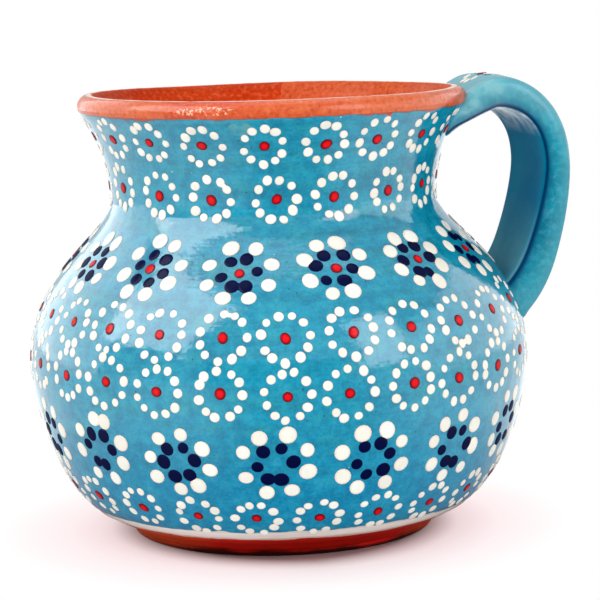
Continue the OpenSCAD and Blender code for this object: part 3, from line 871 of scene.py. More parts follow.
class Ground:
    """The skin that dots are laid on, the body's slip or the back of the strap, and the dot to lay."""

    def __init__(self, sizes):
        self.sizes = sizes
        self.pot = Pot(sizes)
        self.strap = Strap(sizes, self.pot)
        self.run = runs(self.strap.outer)
        self.dot = model_dot()

    def on_body(self, turn, up, reach):
        """Seat on the body (a frame whose Z is the way out) for a dot of a reach, at an angle and height."""
        pot, height, reach = self.pot, up * MM, reach * MM
        slope = pot.slope(height, reach)
        chord = (pot.skin_r(height + reach) + pot.skin_r(height - reach)) / 2
        radius = max(pot.skin_r(height), chord)
        way = math.radians(turn)
        out = Vector((math.cos(way), math.sin(way), -slope)).normalized()
        side = Vector((-math.sin(way), math.cos(way), 0))
        seat = Matrix((side, out.cross(side), out)).transposed().to_4x4()
        seat.translation = Vector((radius * math.cos(way), radius * math.sin(way), height))
        return seat

    def on_back(self, run, across):
        """Seat on the back of the strap, at a run along it and a place across it."""
        strap = self.strap
        at = lookup(run, list(zip(self.run, range(len(self.run)))))
        i = min(int(at), strap.last - 1)
        part = at - i
        place = strap.outer[i] * (1 - part) + strap.outer[i + 1] * part
        way = (strap.outer[i + 1] - strap.outer[i]).normalized()
        out = Vector((-way.y, way.x))
        rise = STRAP_CROWNING * strap.half_thickness(i) * (1 - (across / strap.half_width(i)) ** 2)
        place = place + (rise + self.sizes.slip) * out
        seat = Matrix(((0, -1, 0), (way.x, 0, way.y), (out.x, 0, out.y))).transposed().to_4x4()
        seat.translation = Vector((place.x, across, place.y))
        return seat

    def free(self, turn, up, reach):
        """Whether a dot of a reach, at an angle and height on the body, keeps clear of both joints."""
        strap, height, gap = self.strap, up * MM, reach * MM + JOINT_GAP
        way = math.radians(turn)
        for i in (0, strap.last):
            low, high = sorted((strap.outer[i].y, strap.inner[i].y))
            level = math.cos(way) >= 0 and low - gap <= height <= high + gap
            if level and abs(self.pot.skin_r(height) * math.sin(way)) <= strap.half_width(i) + gap:
                return False
        return True

    def lay(self, seat, long, wide, height, turn, lot):
        """Copy the dot, with its own mesh, onto a seat, so long and wide in millimetres."""
        laid = self.dot.copy()
        laid.data = self.dot.data.copy()
        for value in laid.data.attributes["lot"].data:
            value.value = lot
        bpy.context.collection.objects.link(laid)
        size = Matrix.Diagonal((long * MM / 2, wide * MM / 2, self.sizes.dot_height * height, 1))
        laid.matrix_world = seat @ Matrix.Rotation(turn, 4, "Z") @ size
        return laid

    def lay_round(self, side, up, across, oval, height, turn, lot):
        """Lay a nearly round dot on the body."""
        seat = self.on_body(side, up, across / 2)
        return self.lay(seat, across * oval, across / oval, height, turn, lot)


# Rows from the lip down: first rosette's angle, turn of the whole row, number of steps round it, how
# far the row runs ahead at the back, height, how far it dips at the front, and its kind of rosette.
# Angles are in degrees, here and in the rings, and lengths in millimetres.
ROWS = {
    "neck_upper": (-28.2, 304, 16, -2.4, 83.7, 0.3, "neck"),
    "neck_lower": (-38.6, 360, 18, 5.6, 73.0, 0.7, "neck"),
    "shoulder": (-32.6, 360, 14, 0.6, 59.2, 0.1, "shoulder"),
    "belly_upper": (-27.3, 306, 22, 2.8, 48.1, 0.9, "belly"),
    "belly_lower": (-29.4, 360, 26, 0.4, 37.5, 1.2, "belly"),
    "low_flower": (-34.2, 360, 16, -1.6, 23.5, 1.0, "low_flower"),
    "base": (-43.3, 360, 23, 2.2, 11.8, 1.1, "base"),
}
RING_ROWS = ("neck_upper", "neck_lower", "belly_upper", "belly_lower", "base")
FLOWER_ROWS = {"shoulder": "shoulder_flower", "low_flower": "low_flower"}
RED_ROWS = ("neck_upper", "neck_lower", "shoulder", "belly_upper", "belly_lower", "base")

# Rings of dots of each kind of rosette: diameter of the ring, dot, number, and first angle
RINGS = {
    "neck": (8.0, 1.9, 10, 0),
    "belly": (9.3, 1.84, 11, 0),
    "base": (8.3, 1.86, 10, 0),
    "shoulder": (12.8, 3.25, 8, 22.5),
    "low_flower": (12.8, 3.2, 8, 22.5),
    "navy": (7.0, 2.75, 6, 0),
}
RED_DOT = 2.25

# How unevenly a hand dots: a row's places, a ring's size and turn, a dot's place on its ring and its size,
# and the shape and height of every dot
PLACE_ASIDE = (-0.5, 0.5)
PLACE_UP = (-0.35, 0.35)
RING_SIZE = (0.96, 1.04)
RING_TURN = (-12, 12)
DOT_WAY = (-5, 5)
DOT_REACH = (0.95, 1.05)
DOT_SIZE = (0.84, 1.14)
DOT_OVAL = (0.94, 1.08)
DOT_LEVEL = (0.85, 1.1)

# The same for a rosette's red middle: its place, size and shape
MIDDLE_ASIDE = (-0.4, 0.4)
MIDDLE_UP = (-0.3, 0.3)
MIDDLE_SIZE = (0.9, 1.08)
MIDDLE_OVAL = (0.95, 1.1)

# Share of the dots that run into the next one, anywhere and at the lower left of a navy ring, how close
# their middles then are (in dots), and the length, width and height of the slip between them
RUN_TOGETHER = 0.02
RUN_TOGETHER_BELOW = 0.6
CLOSE = 0.93
BRIDGE = (1.1, 0.6, 0.8)


def row_places(key):
    """Angles and heights of a row's rosettes, uneven as a hand sets them."""
    first, sweep, steps, ahead, height, dip, _ = ROWS[key]
    hand = random.Random(f"places {key}")
    places = []
    for i in range(steps if sweep == 360 else steps + 1):
        lag = ahead * (1 - math.cos(FULL_TURN * i / steps)) / 2
        turn = first - sweep * i / steps - lag + hand.uniform(*PLACE_ASIDE)
        front = math.cos(2 * math.radians(turn + 90))
        places.append((turn, height - dip * front + hand.uniform(*PLACE_UP)))
    return places


def ring_spots(ground, hand, kind, turn, height):
    """Angle, height and size of each dot of one ring, and whether it runs into the next."""
    ring, size, number, first = RINGS[kind]
    ring_r = ring / 2 * hand.uniform(*RING_SIZE)
    start = first + hand.uniform(*RING_TURN)
    spots = []
    pull = 0
    for k in range(number):
        way = math.radians(start + 360 * k / number + hand.uniform(*DOT_WAY)) - pull
        below = kind == "navy" and math.sin(way) < -0.75 and math.cos(way) < 0
        joined = hand.random() < (RUN_TOGETHER_BELOW if below else RUN_TOGETHER)
        pull = FULL_TURN / number - CLOSE * size / ring_r if joined else 0
        reach = ring_r * hand.uniform(*DOT_REACH)
        slope = ground.pot.slope(height * MM, size / 2 * MM)
        up = height + reach * math.sin(way) / math.hypot(1, slope)
        radius = ground.pot.skin_r(up * MM) / MM
        side = turn + math.degrees(reach * math.cos(way) / radius)
        spots.append((side, up, size * hand.uniform(*DOT_SIZE), pull > 0))
    return spots


def lay_rings(ground, key, kind, seed):
    """Lay a ring of dots round each rosette of a row, with a few dots run together."""
    hand = random.Random(seed)
    laid = []
    for turn, height in row_places(key):
        spots = ring_spots(ground, hand, kind, turn, height)
        for side, up, across, _ in spots:
            if ground.free(side, up, across / 2):
                oval, level = hand.uniform(*DOT_OVAL), hand.uniform(*DOT_LEVEL)
                spin = hand.uniform(0, math.pi)
                laid.append(ground.lay_round(side, up, across, oval, level, spin, hand.random()))
        for (side_a, up_a, across, joined), (side_b, up_b, _, _) in zip(spots, spots[1:]):
            side, up = (side_a + side_b) / 2, (up_a + up_b) / 2
            if joined and ground.free(side, up, 2):
                aside = math.radians(side_b - side_a) * ground.pot.skin_r(up * MM) / MM
                way = math.atan2(up_b - up_a, aside)
                seat = ground.on_body(side, up, 1)
                long, wide, level = BRIDGE
                laid.append(ground.lay(seat, across * long, across * wide, level, way, hand.random()))
    return laid


def lay_middles(ground, keys, seed):
    """Lay one red dot in the middle of each rosette of some rows."""
    hand = random.Random(seed)
    laid = []
    for key in keys:
        for turn, height in row_places(key):
            side = turn + hand.uniform(*MIDDLE_ASIDE)
            up = height + hand.uniform(*MIDDLE_UP)
            across = RED_DOT * hand.uniform(*MIDDLE_SIZE)
            if ground.free(side, up, across / 2):
                oval = hand.uniform(*MIDDLE_OVAL)
                spin = hand.uniform(0, math.pi)
                laid.append(ground.lay_round(side, up, across, oval, 1, spin, hand.random()))
    return laid


def hand_in_dots(name, laid, kind, node):
    """Join a set of dots into one piece, push it out of true with the pot and hand it in."""
    deselect()
    for dot in laid:
        dot.select_set(True)
    bpy.context.view_layer.objects.active = laid[0]
    bpy.ops.object.join()
    piece = bpy.context.object
    piece.name = name
    piece.data.name = name
    pick(piece)
    bpy.ops.object.transform_apply(location=True, rotation=True, scale=True)
    hand_in(piece, f"{kind}_slip", dot_finish(kind), node)


# Operators: clay, slip and glaze

# Angles, in degrees, from which an edge stays sharp
COAT_EDGE = 50
CLAY_EDGE = 40
STRAP_EDGE = 60

# Over how much of their ends the two slip coats thin out
BLUE_TAPER = 0.8 * MM
CREAM_TAPER = 0.5 * MM

# How far under the top, and past the crest, the painted highlight along the crest and the glaze's outward
# side, with its painted sheen, begin and are full
CREST = (0.1 * MM, 0.02 * MM)
LIP_SIDE = (9 * MM, 7 * MM)
PAST_CREST = (-0.6 * MM, -0.1 * MM)


class JARRITO_OT_clay_vessel(bpy.types.Operator):
    """Turn the clay vessel: foot, belly, neck, flared lip and floor"""

    bl_idname = "jarrito.clay_vessel"
    bl_label = "Clay vessel"

    def execute(self, context):
        piece = turned("Clay_vessel", Pot(context.scene.jarrito_sizes).clay_profile())
        finish = bare_clay_finish(context.scene.jarrito_colours.clay)
        hand_in(piece, "terracotta", finish, "vessel", sharp=CLAY_EDGE)
        return {"FINISHED"}


class JARRITO_OT_glaze_lining(bpy.types.Operator):
    """Pour the clear glaze: over the lip, down the wall and across the floor"""

    bl_idname = "jarrito.glaze_lining"
    bl_label = "Clear glaze lining"

    def execute(self, context):
        sizes = context.scene.jarrito_sizes
        piece = turned("Clear_glaze_lining", Pot(sizes).lining_profile())
        self.mark_lip(piece, sizes.vessel_height + sizes.glaze)
        finish = glazed_clay_finish(context.scene.jarrito_colours.glazed)
        hand_in(piece, "clear_glazed_terracotta", finish, "inside_glaze", sharp=CLAY_EDGE)
        return {"FINISHED"}

    def mark_lip(self, piece, top):
        """Mark the crest of the lip for its painted highlight, and all that faces outwards round it for its
        painted sheen and heavier coat.
        """
        crest = write_on(piece, "crest")
        outward = write_on(piece, "outward")
        crest_r = max(piece.data.vertices, key=lambda point: point.co.z).co.xy.length
        for point in piece.data.vertices:
            crest[point.index].value = ramp(point.co.z, top - CREST[0], top - CREST[1])
            lip = ramp(point.co.z, top - LIP_SIDE[0], top - LIP_SIDE[1])
            outward[point.index].value = lip * ramp(point.co.xy.length - crest_r, *PAST_CREST)


class JARRITO_OT_blue_coat(bpy.types.Operator):
    """Coat the body in blue slip, from the cream band to under the lip"""

    bl_idname = "jarrito.blue_coat"
    bl_label = "Blue slip coat"

    def execute(self, context):
        sizes = context.scene.jarrito_sizes
        profile = Pot(sizes).coat_profile(sizes.cream_top, sizes.blue_top, BLUE_TAPER)
        piece = turned("Blue_slip_coat", profile)
        finish = brushed_slip_finish(context.scene.jarrito_colours, sizes)
        hand_in(piece, "blue_slip", finish, "body_slip", sharp=COAT_EDGE)
        return {"FINISHED"}


class JARRITO_OT_cream_band(bpy.types.Operator):
    """Band the pot in cream slip over its bare foot"""

    bl_idname = "jarrito.cream_band"
    bl_label = "Cream slip band"

    def execute(self, context):
        sizes = context.scene.jarrito_sizes
        profile = Pot(sizes).coat_profile(sizes.cream_low, sizes.cream_top, CREAM_TAPER)
        piece = turned("Cream_slip_band", profile)
        finish = cream_finish(context.scene.jarrito_colours, sizes)
        hand_in(piece, "cream_slip", finish, "cream_band", sharp=COAT_EDGE)
        return {"FINISHED"}


EDGE_STEPS = 4
FACE_CUTS = 5
STRAP_ROUNDS = 2
INTO_WALL = 3 * MM
# The inner face crowns by this share of the outer one's crowning
INNER_CROWNING = 0.6
NEARBY = 0.01 * MM
# Where the inner face begins, through the strap, and its glaze from station to station
INNER_FACE = (0.1, 0.6)
GLAZE_INSIDE = ((7, 0.9), (12, 0.03))
GLAZE_OUTSIDE = 0.5
# How much deeper the low end is pressed in, and how far the upper end is drawn down the neck
LOW_END_PRESSED = 1.2 * MM
UPPER_END_DRAWN = 0.6 * MM


class JARRITO_OT_strap_handle(bpy.types.Operator):
    """Roll out the strap, bend it into its loop and press both ends into the wall"""

    bl_idname = "jarrito.strap_handle"
    bl_label = "Blue strap handle"

    def execute(self, context):
        sizes = context.scene.jarrito_sizes
        strap = Strap(sizes, Pot(sizes))
        widths = [strap.half_width(i) + sizes.slip for i in range(strap.last + 1)]
        depths = [strap.half_thickness(i) + sizes.slip for i in range(strap.last + 1)]
        middle = list(strap.middle)
        middle.insert(0, middle[0] - INTO_WALL * along(middle, 0))
        middle.append(middle[-1] + INTO_WALL * along(middle, len(middle) - 1))
        widths = [widths[0]] + widths + [widths[-1]]
        depths = [depths[0]] + depths + [depths[-1]]
        piece, ring = self.roll_out(middle, widths, depths, sizes.strap_round)
        self.mark_faces(piece, ring, depths)
        self.bend(piece, middle, ring)
        self.press_on(piece, strap, ring)
        rounding = piece.modifiers.new("Smoothed", "SUBSURF")
        rounding.levels = STRAP_ROUNDS
        rounding.render_levels = STRAP_ROUNDS
        pick(piece)
        bpy.ops.object.modifier_apply(modifier="Smoothed")
        finish = strap_finish(context.scene.jarrito_colours)
        hand_in(piece, "blue_slip", finish, "handle", "handle_slip", sharp=STRAP_EDGE)
        return {"FINISHED"}

    def roll_out(self, middle, widths, depths, edge):
        """A straight strap along X: its rounded section drawn once and extruded from station to station."""
        deselect()
        bpy.ops.mesh.primitive_plane_add(size=1, rotation=(0, math.pi / 2, 0))
        piece = begin("Blue_strap_handle")
        bpy.ops.transform.resize(value=(1, 2 * widths[0], 2 * depths[0]), center_override=(0, 0, 0))
        bpy.ops.mesh.bevel(affect="VERTICES", offset=edge, segments=EDGE_STEPS)
        bpy.ops.mesh.select_all(action="SELECT")
        bpy.ops.mesh.delete(type="ONLY_FACE")
        bpy.ops.mesh.select_mode(type="EDGE")
        drawn = bmesh.from_edit_mesh(piece.data)
        for line in drawn.edges:
            line.select_set(line.calc_length() > widths[0])
        bmesh.update_edit_mesh(piece.data)
        bpy.ops.mesh.subdivide(number_cuts=FACE_CUTS)
        bpy.ops.mesh.select_mode(type="VERT")
        self.crown_faces(piece, widths[0], depths[0], edge)
        bpy.ops.mesh.select_all(action="SELECT")
        reach = 0
        for i in range(1, len(middle)):
            step = (middle[i] - middle[i - 1]).length
            reach += step
            bpy.ops.mesh.extrude_edges_move(TRANSFORM_OT_translate={"value": (step, 0, 0)})
            wider = widths[i] / widths[i - 1]
            deeper = depths[i] / depths[i - 1]
            bpy.ops.transform.resize(value=(1, wider, deeper), center_override=(reach, 0, 0))
        bpy.ops.mesh.edge_face_add()
        bpy.ops.object.mode_set(mode="OBJECT")
        ring = len(piece.data.vertices) // len(middle)
        bpy.ops.object.mode_set(mode="EDIT")
        select_points(piece, lambda point: point.index < ring)
        bpy.ops.mesh.edge_face_add()
        bpy.ops.mesh.select_all(action="SELECT")
        bpy.ops.mesh.normals_make_consistent(inside=False)
        return piece, ring

    def crown_faces(self, piece, width, depth, edge):
        """Raise both faces of the section towards their middle."""
        for k in range(1, FACE_CUTS + 1):
            across = (width - edge) * (1 - 2 * k / (FACE_CUTS + 1))
            crown = STRAP_CROWNING * depth * (1 - (across / width) ** 2)
            for way, lift in ((1, crown), (-1, crown * INNER_CROWNING)):
                place = Vector((0, across, way * depth))
                select_points(piece, lambda point: (point.co - place).length < NEARBY)
                bpy.ops.transform.translate(value=(0, 0, lift))

    def mark_faces(self, piece, ring, depths):
        """Mark how deep each place of the straight strap lies, from -1 on its back to 1 on its inner
        face, and how much glaze it holds."""
        bpy.ops.object.mode_set(mode="OBJECT")
        depth = write_on(piece, "depth")
        glaze = write_on(piece, "glaze")
        for point in piece.data.vertices:
            i = point.index // ring
            depth[point.index].value = -point.co.z / depths[i]
            face = ramp(-point.co.z / depths[i], *INNER_FACE)
            glaze[point.index].value = GLAZE_OUTSIDE + (lookup(i, GLAZE_INSIDE) - GLAZE_OUTSIDE) * face
        bpy.ops.object.mode_set(mode="EDIT")

    def bend(self, piece, middle, ring):
        """Carry the straight strap to its first station and bend it at each station in turn."""
        start = (middle[0].x, 0, middle[0].y)
        ways = [after - before for before, after in zip(middle, middle[1:])]
        heads = [math.atan2(way.y, way.x) for way in ways]
        bpy.ops.mesh.select_all(action="SELECT")
        bpy.ops.transform.translate(value=start)
        bpy.ops.transform.rotate(value=heads[0], orient_axis="Y", center_override=start)
        for i in range(1, len(ways)):
            turn = (heads[i] - heads[i - 1] + math.pi) % FULL_TURN - math.pi
            hinge = (middle[i].x, 0, middle[i].y)
            select_points(piece, lambda point: point.index // ring == i)
            bpy.ops.transform.rotate(value=turn / 2, orient_axis="Y", center_override=hinge)
            select_points(piece, lambda point: point.index // ring > i)
            bpy.ops.transform.rotate(value=turn, orient_axis="Y", center_override=hinge)

    def press_on(self, piece, strap, ring):
        """Press the stations near both joints round the pot, one pair of columns after another."""
        sizes = strap.sizes
        bpy.ops.object.mode_set(mode="OBJECT")
        depth = [value.value for value in piece.data.attributes["depth"].data]
        columns = [set() for _ in range(strap.last + 3)]
        for point in piece.data.vertices:
            columns[point.index // ring].add(round(abs(point.co.y), 6))
        bpy.ops.object.mode_set(mode="EDIT")
        for k, column in enumerate(columns):
            i = min(max(k - 1, 0), strap.last)
            pressed = strap.rooted(i)
            if pressed == 0:
                continue
            low = i > strap.last / 2
            round_r = (sizes.belly_width if low else sizes.neck_width) / 2
            for across in sorted(column):
                select_points(
                    piece,
                    lambda point: point.index // ring == k
                    and abs(abs(point.co.y) - across) < 2 * ALMOST_NOTHING,
                )
                fall = round_r - math.sqrt(round_r ** 2 - across ** 2) + (LOW_END_PRESSED if low else 0)
                bpy.ops.transform.translate(value=(-pressed * fall, 0, 0))
        for k in range(ROOT_STATIONS + 1):
            drawn = UPPER_END_DRAWN * strap.rooted(max(k - 1, 0))
            select_points(
                piece, lambda point: point.index // ring == k and depth[point.index] > INNER_FACE[1]
            )
            bpy.ops.transform.translate(value=(-2 * drawn, 0, -drawn))
        bpy.ops.object.mode_set(mode="OBJECT")


# Operators: dots

class JARRITO_OT_white_rings(bpy.types.Operator):
    """Dot the white rings of the neck, the belly and the foot"""

    bl_idname = "jarrito.white_rings"
    bl_label = "White rings"

    def execute(self, context):
        ground = Ground(context.scene.jarrito_sizes)
        for key in RING_ROWS:
            name = f"White_rings_{key}"
            hand_in_dots(name, lay_rings(ground, key, ROWS[key][-1], name), "white", f"{key}_rings")
        bpy.data.objects.remove(ground.dot)
        return {"FINISHED"}


class JARRITO_OT_flowers(bpy.types.Operator):
    """Dot the flowers of the shoulder and the low belly, white round navy"""

    bl_idname = "jarrito.flowers"
    bl_label = "Flowers"

    def execute(self, context):
        ground = Ground(context.scene.jarrito_sizes)
        for key, node in FLOWER_ROWS.items():
            laid = lay_rings(ground, key, ROWS[key][-1], f"{key} petals")
            hand_in_dots(f"White_petals_{key}", laid, "white", f"{node}_petals")
            laid = lay_rings(ground, key, "navy", f"{key} navy")
            hand_in_dots(f"Navy_dots_{key}", laid, "navy", f"{node}_navy")
        bpy.data.objects.remove(ground.dot)
        return {"FINISHED"}


class JARRITO_OT_red_middles(bpy.types.Operator):
    """Dot the red middles of the rosettes"""

    bl_idname = "jarrito.red_middles"
    bl_label = "Red middles"

    def execute(self, context):
        ground = Ground(context.scene.jarrito_sizes)
        hand_in_dots("Red_middles", lay_middles(ground, RED_ROWS, "middles"), "red", "red_centres")
        bpy.data.objects.remove(ground.dot)
        return {"FINISHED"}


# Rings down the back of the strap, from its first to its last, as shares of its length, how unevenly
# their dots and middles are set, and the width of each to its length
BACK_RINGS = 6
BACK_SHARES = (0.09, 0.86)
BACK_WAY = (-0.07, 0.07)
BACK_SIZE = (0.9, 1.1)
BACK_ASIDE = (-0.3, 0.3)
BACK_OVAL = 0.96
BACK_MIDDLE_OVAL = 0.95


class JARRITO_OT_strap_rings(bpy.types.Operator):
    """Dot the white rings and their red middles down the back of the strap"""

    bl_idname = "jarrito.strap_rings"
    bl_label = "Rings on the strap"

    def execute(self, context):
        ground = Ground(context.scene.jarrito_sizes)
        hand = random.Random("strap rings")
        ring, size, number, _ = RINGS["neck"]
        first, last = (ground.run[-1] * part for part in BACK_SHARES)
        white, red = [], []
        for i in range(BACK_RINGS):
            run = first + (last - first) * i / (BACK_RINGS - 1)
            for k in range(number):
                way = FULL_TURN * k / number + hand.uniform(*BACK_WAY)
                reach = ring / 2 * MM * hand.uniform(*RING_SIZE)
                across = size * hand.uniform(*BACK_SIZE)
                seat = ground.on_back(run + reach * math.sin(way), reach * math.cos(way))
                white.append(ground.lay(seat, across, across * BACK_OVAL, 1, way, hand.random()))
            seat = ground.on_back(run, hand.uniform(*BACK_ASIDE) * MM)
            red.append(ground.lay(seat, RED_DOT, RED_DOT * BACK_MIDDLE_OVAL, 1, 0, hand.random()))
        hand_in_dots("White_rings_strap", white, "white", "handle_rings")
        hand_in_dots("Red_middles_strap", red, "red", "handle_red_centres")
        bpy.data.objects.remove(ground.dot)
        return {"FINISHED"}


# The studio: the camera stands where the photograph was taken from
CAMERA_AT = Vector((-0.0884, -0.5015, 0.1171))
CAMERA_TURN = math.radians(80)
CAMERA_DIP = math.radians(7.74)
CAMERA_ROLL = math.radians(1.7)
IMAGE_SIZE = 600
FOCAL_PIXELS = 2428
AXIS_PIXELS_LEFT = 22.8
SENSOR = 36

# Soft boxes: direction from the mug in degrees (round it, and up), half their width and height in
# degrees as the mug sees them, and their brightness as light and as seen in the glaze (1 is white)
SOFT_BOXES = {
    "Soft_box_left": (-168, 42, 24, 21, 2.2, 6.2),
    "Soft_box_right": (-53, 24, 11, 18, 3.0, 5.0),
    "Soft_box_top": (100, 80, 25, 25, 0.6, 1.5),
    "Soft_box_front": (-100, 8, 35, 22, 1.6, 0.0),
    "White_wall_left": (-221, 18, 34, 26, 0.0, 2.4),
    "White_wall_right": (5, 10, 44, 24, 0.0, 2.0),
}
LIGHT_DISTANCE = 1.1
SHINE_DISTANCE = 1.0
AIM = Vector((0, 0, 0.05))
WORLD_LEVEL = 0.4
WHITE = (1, 1, 1)

# The dark card: direction in degrees, distance, width, height and how light it is
DARK_CARD = (-103, 0.9, 1.1, 0.3, 0.3)

# The table: its size, its two tones, and its tone close to the foot, darkened there as painted shade
TABLE_SIZE = 6
TABLE_TONES = ((0.93, 0.9, 0.9), (0.95, 0.92, 0.92))
SHADED_FOOT_TONE = (0.5, 0.4, 0.4)
# The shade under the mug as the camera sees it: its tone at the foot and farther out, and how much
# nearer it ends to the sides than to the front
SHADE_TONES = ((0.012, 0.008, 0.009), (0.85, 0.84, 0.84))
SHADE_NARROWING = 0.22
# The table as the glaze mirrors it, its rosy tint round the shade (painted warm light from the clay), and
# its brightness for the glaze
MIRRORED_TONE = (0.22, 0.22, 0.22)
ROSY_TONE = (1, 0.82, 0.84)
MIRRORED_GLOW = 1.7
# Distances from the mug's axis, in metres, between which each of these fades
FOOT_FADE = (0.033, 0.043)
SHADE_FADE = (0.0335, 0.046)
WHITE_FADE = (0.0355, 0.045, 0.0, 0.76)
LAST_FADE = (0.045, 0.056, 0.0, 0.24)
ROSY_FADE = (0.04, 0.06)
MIRRORED_FADE = (0.036, 0.11)
# How white the mirrored table is in front of the mug, against beside and behind it
FRONT_FADE = (0.3, 0.7, 0.15, 1.0)


def swung(first, second, turn):
    """A pair of directions, turned in their own plane."""
    cosine, sine = math.cos(turn), math.sin(turn)
    return cosine * first - sine * second, sine * first + cosine * second


class JARRITO_OT_studio(bpy.types.Operator):
    """Set the white table, the soft light and the camera"""

    bl_idname = "jarrito.studio"
    bl_label = "Studio"

    def execute(self, context):
        self.set_table()
        self.stand_dark_card(*DARK_CARD)
        for name, numbers in SOFT_BOXES.items():
            self.hang_soft_box(context, name, *numbers)
        self.set_world(context)
        self.set_camera(context)
        context.scene.view_settings.view_transform = "Standard"
        return {"FINISHED"}

    def set_table(self):
        """A white table that fades into the white room but keeps the mug's shadow."""
        deselect()
        bpy.ops.mesh.primitive_plane_add(size=TABLE_SIZE)
        table = bpy.context.object
        table.name = "Table"
        finish = Finish("White_table")
        path = finish.node("LightPath")
        camera, mirror = path["Is Camera Ray"], path["Is Glossy Ray"]
        far = finish.vectors("LENGTH", finish.place)["Value"]
        apart = finish.maths("ABSOLUTE", finish.axis("X"))
        shade_far = finish.maths("MULTIPLY_ADD", apart, SHADE_NARROWING, far)
        shaded = finish.blend(finish.ranged(shade_far, *SHADE_FADE), *SHADE_TONES)
        shaded = finish.blend(mirror, shaded, MIRRORED_TONE)
        tint = finish.blend(finish.ranged(finish.grain(40.0), 0.4, 0.7), *TABLE_TONES)
        # Painted shade: the table darker close to the foot for every ray but the camera's, so that it throws
        # back less light.
        tint = finish.blend(finish.ranged(far, *FOOT_FADE), SHADED_FOOT_TONE, tint)
        cloth = finish.node("BsdfDiffuse", {"Color": finish.blend(camera, shaded, tint)})
        # Painted light: a rosy glow round the shade near the foot.
        rosy = finish.blend(finish.ranged(far, *ROSY_FADE), ROSY_TONE, WHITE)
        strength = finish.ranged(camera, 0.0, 1.0, MIRRORED_GLOW, 1.0)
        glow = finish.node("Emission", {"Color": rosy, "Strength": strength})
        faded = finish.maths(
            "ADD", finish.ranged(shade_far, *WHITE_FADE), finish.ranged(shade_far, *LAST_FADE)
        )
        way = finish.vectors("NORMALIZE", finish.place)["Vector"]
        aside = finish.maths("ABSOLUTE", finish.axis("X", way))
        aside = finish.ranged(finish.maths("MAXIMUM", aside, finish.axis("Y", way)), *FRONT_FADE)
        aside = finish.product(aside, finish.ranged(far, *MIRRORED_FADE))
        mirrored = finish.maths("MAXIMUM", mirror, path["Is Transmission Ray"])
        mirrored = finish.product(mirrored, aside)
        white = finish.maths("MAXIMUM", finish.product(camera, faded), mirrored)
        mixed = finish.node("MixShader", {"Fac": white, 1: cloth["BSDF"], 2: glow["Emission"]})
        table.data.materials.append(finish.shown(mixed["Shader"]))

    def hang_soft_box(self, context, name, turn, rise, wide, high, lit, shine):
        """A soft box that faces the mug: one lamp lights the mug, and one is seen in its glaze."""
        way, up = math.radians(turn), math.radians(rise)
        out = Vector((math.cos(up) * math.cos(way), math.cos(up) * math.sin(way), math.sin(up)))
        for job, brightness, distance in (("light", lit, LIGHT_DISTANCE), ("shine", shine, SHINE_DISTANCE)):
            if brightness == 0:
                continue
            light = bpy.data.lights.new(f"{name}_{job}", "AREA")
            light.shape = "RECTANGLE"
            light.size = 2 * distance * math.tan(math.radians(wide))
            light.size_y = 2 * distance * math.tan(math.radians(high))
            light.energy = brightness * math.pi * light.size * light.size_y
            box = bpy.data.objects.new(light.name, light)
            box.location = AIM + distance * out
            box.rotation_euler = out.to_track_quat("Z", "Y").to_euler()
            box.visible_camera = False
            box.visible_diffuse = job == "light"
            box.visible_glossy = job == "shine"
            context.collection.objects.link(box)

    def stand_dark_card(self, turn, distance, width, height, level):
        """A dark card that stands on the table and is seen only in the glaze."""
        deselect()
        out = heading(math.radians(turn)).to_3d()
        bpy.ops.mesh.primitive_plane_add(size=1, location=distance * out)
        card = bpy.context.object
        card.name = "Dark_card_front"
        bpy.ops.object.mode_set(mode="EDIT")
        bpy.ops.transform.resize(value=(width, height, 1))
        bpy.ops.object.mode_set(mode="OBJECT")
        card.rotation_euler = out.to_track_quat("Z", "Y").to_euler()
        card.location.z = height / 2
        finish = Finish(card.name)
        shade = finish.blend(finish.grain(30.0), scaled(WHITE, 0.7 * level), scaled(WHITE, 1.3 * level))
        card.data.materials.append(finish.shown(finish.node("BsdfDiffuse", {"Color": shade})["BSDF"]))
        card.visible_camera = False
        card.visible_diffuse = False
        card.visible_shadow = False

    def set_world(self, context):
        """A white room: 1 where it is seen, straight on or in the glaze, and a plain level as light."""
        context.scene.world = bpy.data.worlds.new("White_room")
        room = Nodes(context.scene.world)
        path = room.node("LightPath")
        seen = room.maths("MAXIMUM", path["Is Camera Ray"], path["Is Glossy Ray"])
        seen = room.maths("MAXIMUM", seen, path["Is Transmission Ray"])
        level = room.ranged(seen, 0.0, 1.0, WORLD_LEVEL, 1.0)
        white = room.node("Background", {"Color": (*WHITE, 1), "Strength": level})
        room.node("OutputWorld", {"Surface": white["Background"]})

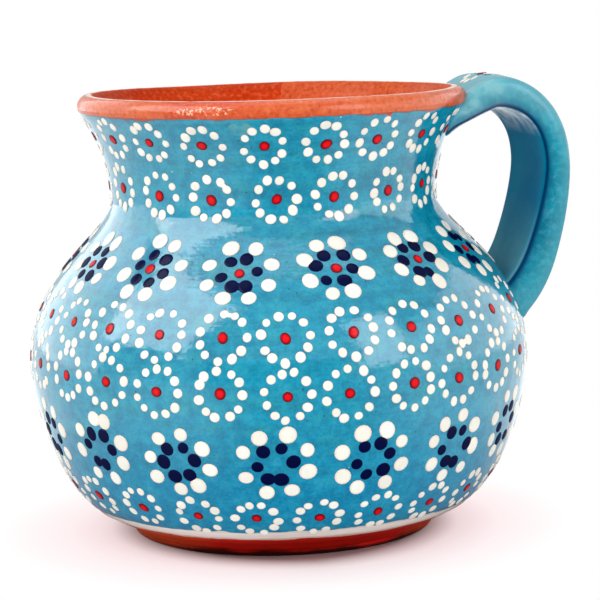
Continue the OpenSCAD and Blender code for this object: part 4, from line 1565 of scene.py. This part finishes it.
    def set_camera(self, context):
        """The photograph's camera: tipped down, rolled slightly, and turned so that the mug sits left."""
        level = heading(CAMERA_TURN).to_3d()
        ahead = math.cos(CAMERA_DIP) * level - math.sin(CAMERA_DIP) * Vector((0, 0, 1))
        right = Vector((level.y, -level.x, 0))
        right, up = swung(right, right.cross(ahead), CAMERA_ROLL)
        right, ahead = swung(right, ahead, math.atan2(AXIS_PIXELS_LEFT, FOCAL_PIXELS))
        lens = bpy.data.cameras.new("Camera")
        lens.sensor_width = SENSOR
        lens.lens = FOCAL_PIXELS / IMAGE_SIZE * SENSOR
        lens.clip_start = 0.01
        camera = bpy.data.objects.new("Camera", lens)
        stand = Matrix((right, up, -ahead)).transposed().to_4x4()
        stand.translation = CAMERA_AT
        camera.matrix_world = stand
        context.collection.objects.link(camera)
        context.scene.camera = camera


OPERATORS = (
    JARRITO_OT_clay_vessel,
    JARRITO_OT_glaze_lining,
    JARRITO_OT_blue_coat,
    JARRITO_OT_cream_band,
    JARRITO_OT_strap_handle,
    JARRITO_OT_white_rings,
    JARRITO_OT_flowers,
    JARRITO_OT_red_middles,
    JARRITO_OT_strap_rings,
    JARRITO_OT_studio,
)


class JARRITO_PT_sidebar(bpy.types.Panel):
    """Sizes, colours and steps of the mug"""

    bl_idname = "JARRITO_PT_sidebar"
    bl_label = "Jarrito clay mug"
    bl_space_type = "VIEW_3D"
    bl_region_type = "UI"
    bl_category = "Jarrito"

    def draw(self, context):
        for group in (context.scene.jarrito_sizes, context.scene.jarrito_colours):
            box = self.layout.box()
            for name in group.__annotations__:
                box.prop(group, name)
        for operator in OPERATORS:
            self.layout.operator(operator.bl_idname)


CLASSES = (JarritoSizes, JarritoColours, *OPERATORS, JARRITO_PT_sidebar)


def register():
    """Register the classes and hang both groups of properties on the scene."""
    for each in CLASSES:
        bpy.utils.register_class(each)
    bpy.types.Scene.jarrito_sizes = bpy.props.PointerProperty(type=JarritoSizes)
    bpy.types.Scene.jarrito_colours = bpy.props.PointerProperty(type=JarritoColours)


def unregister():
    """Take both groups and the classes away again."""
    del bpy.types.Scene.jarrito_colours
    del bpy.types.Scene.jarrito_sizes
    for each in reversed(CLASSES):
        bpy.utils.unregister_class(each)


def main():
    """Model the whole mug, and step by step."""
    register()
    for operator in OPERATORS:
        group, step = operator.bl_idname.split(".")
        getattr(getattr(bpy.ops, group), step)()


if __name__ == "__main__":
    main()
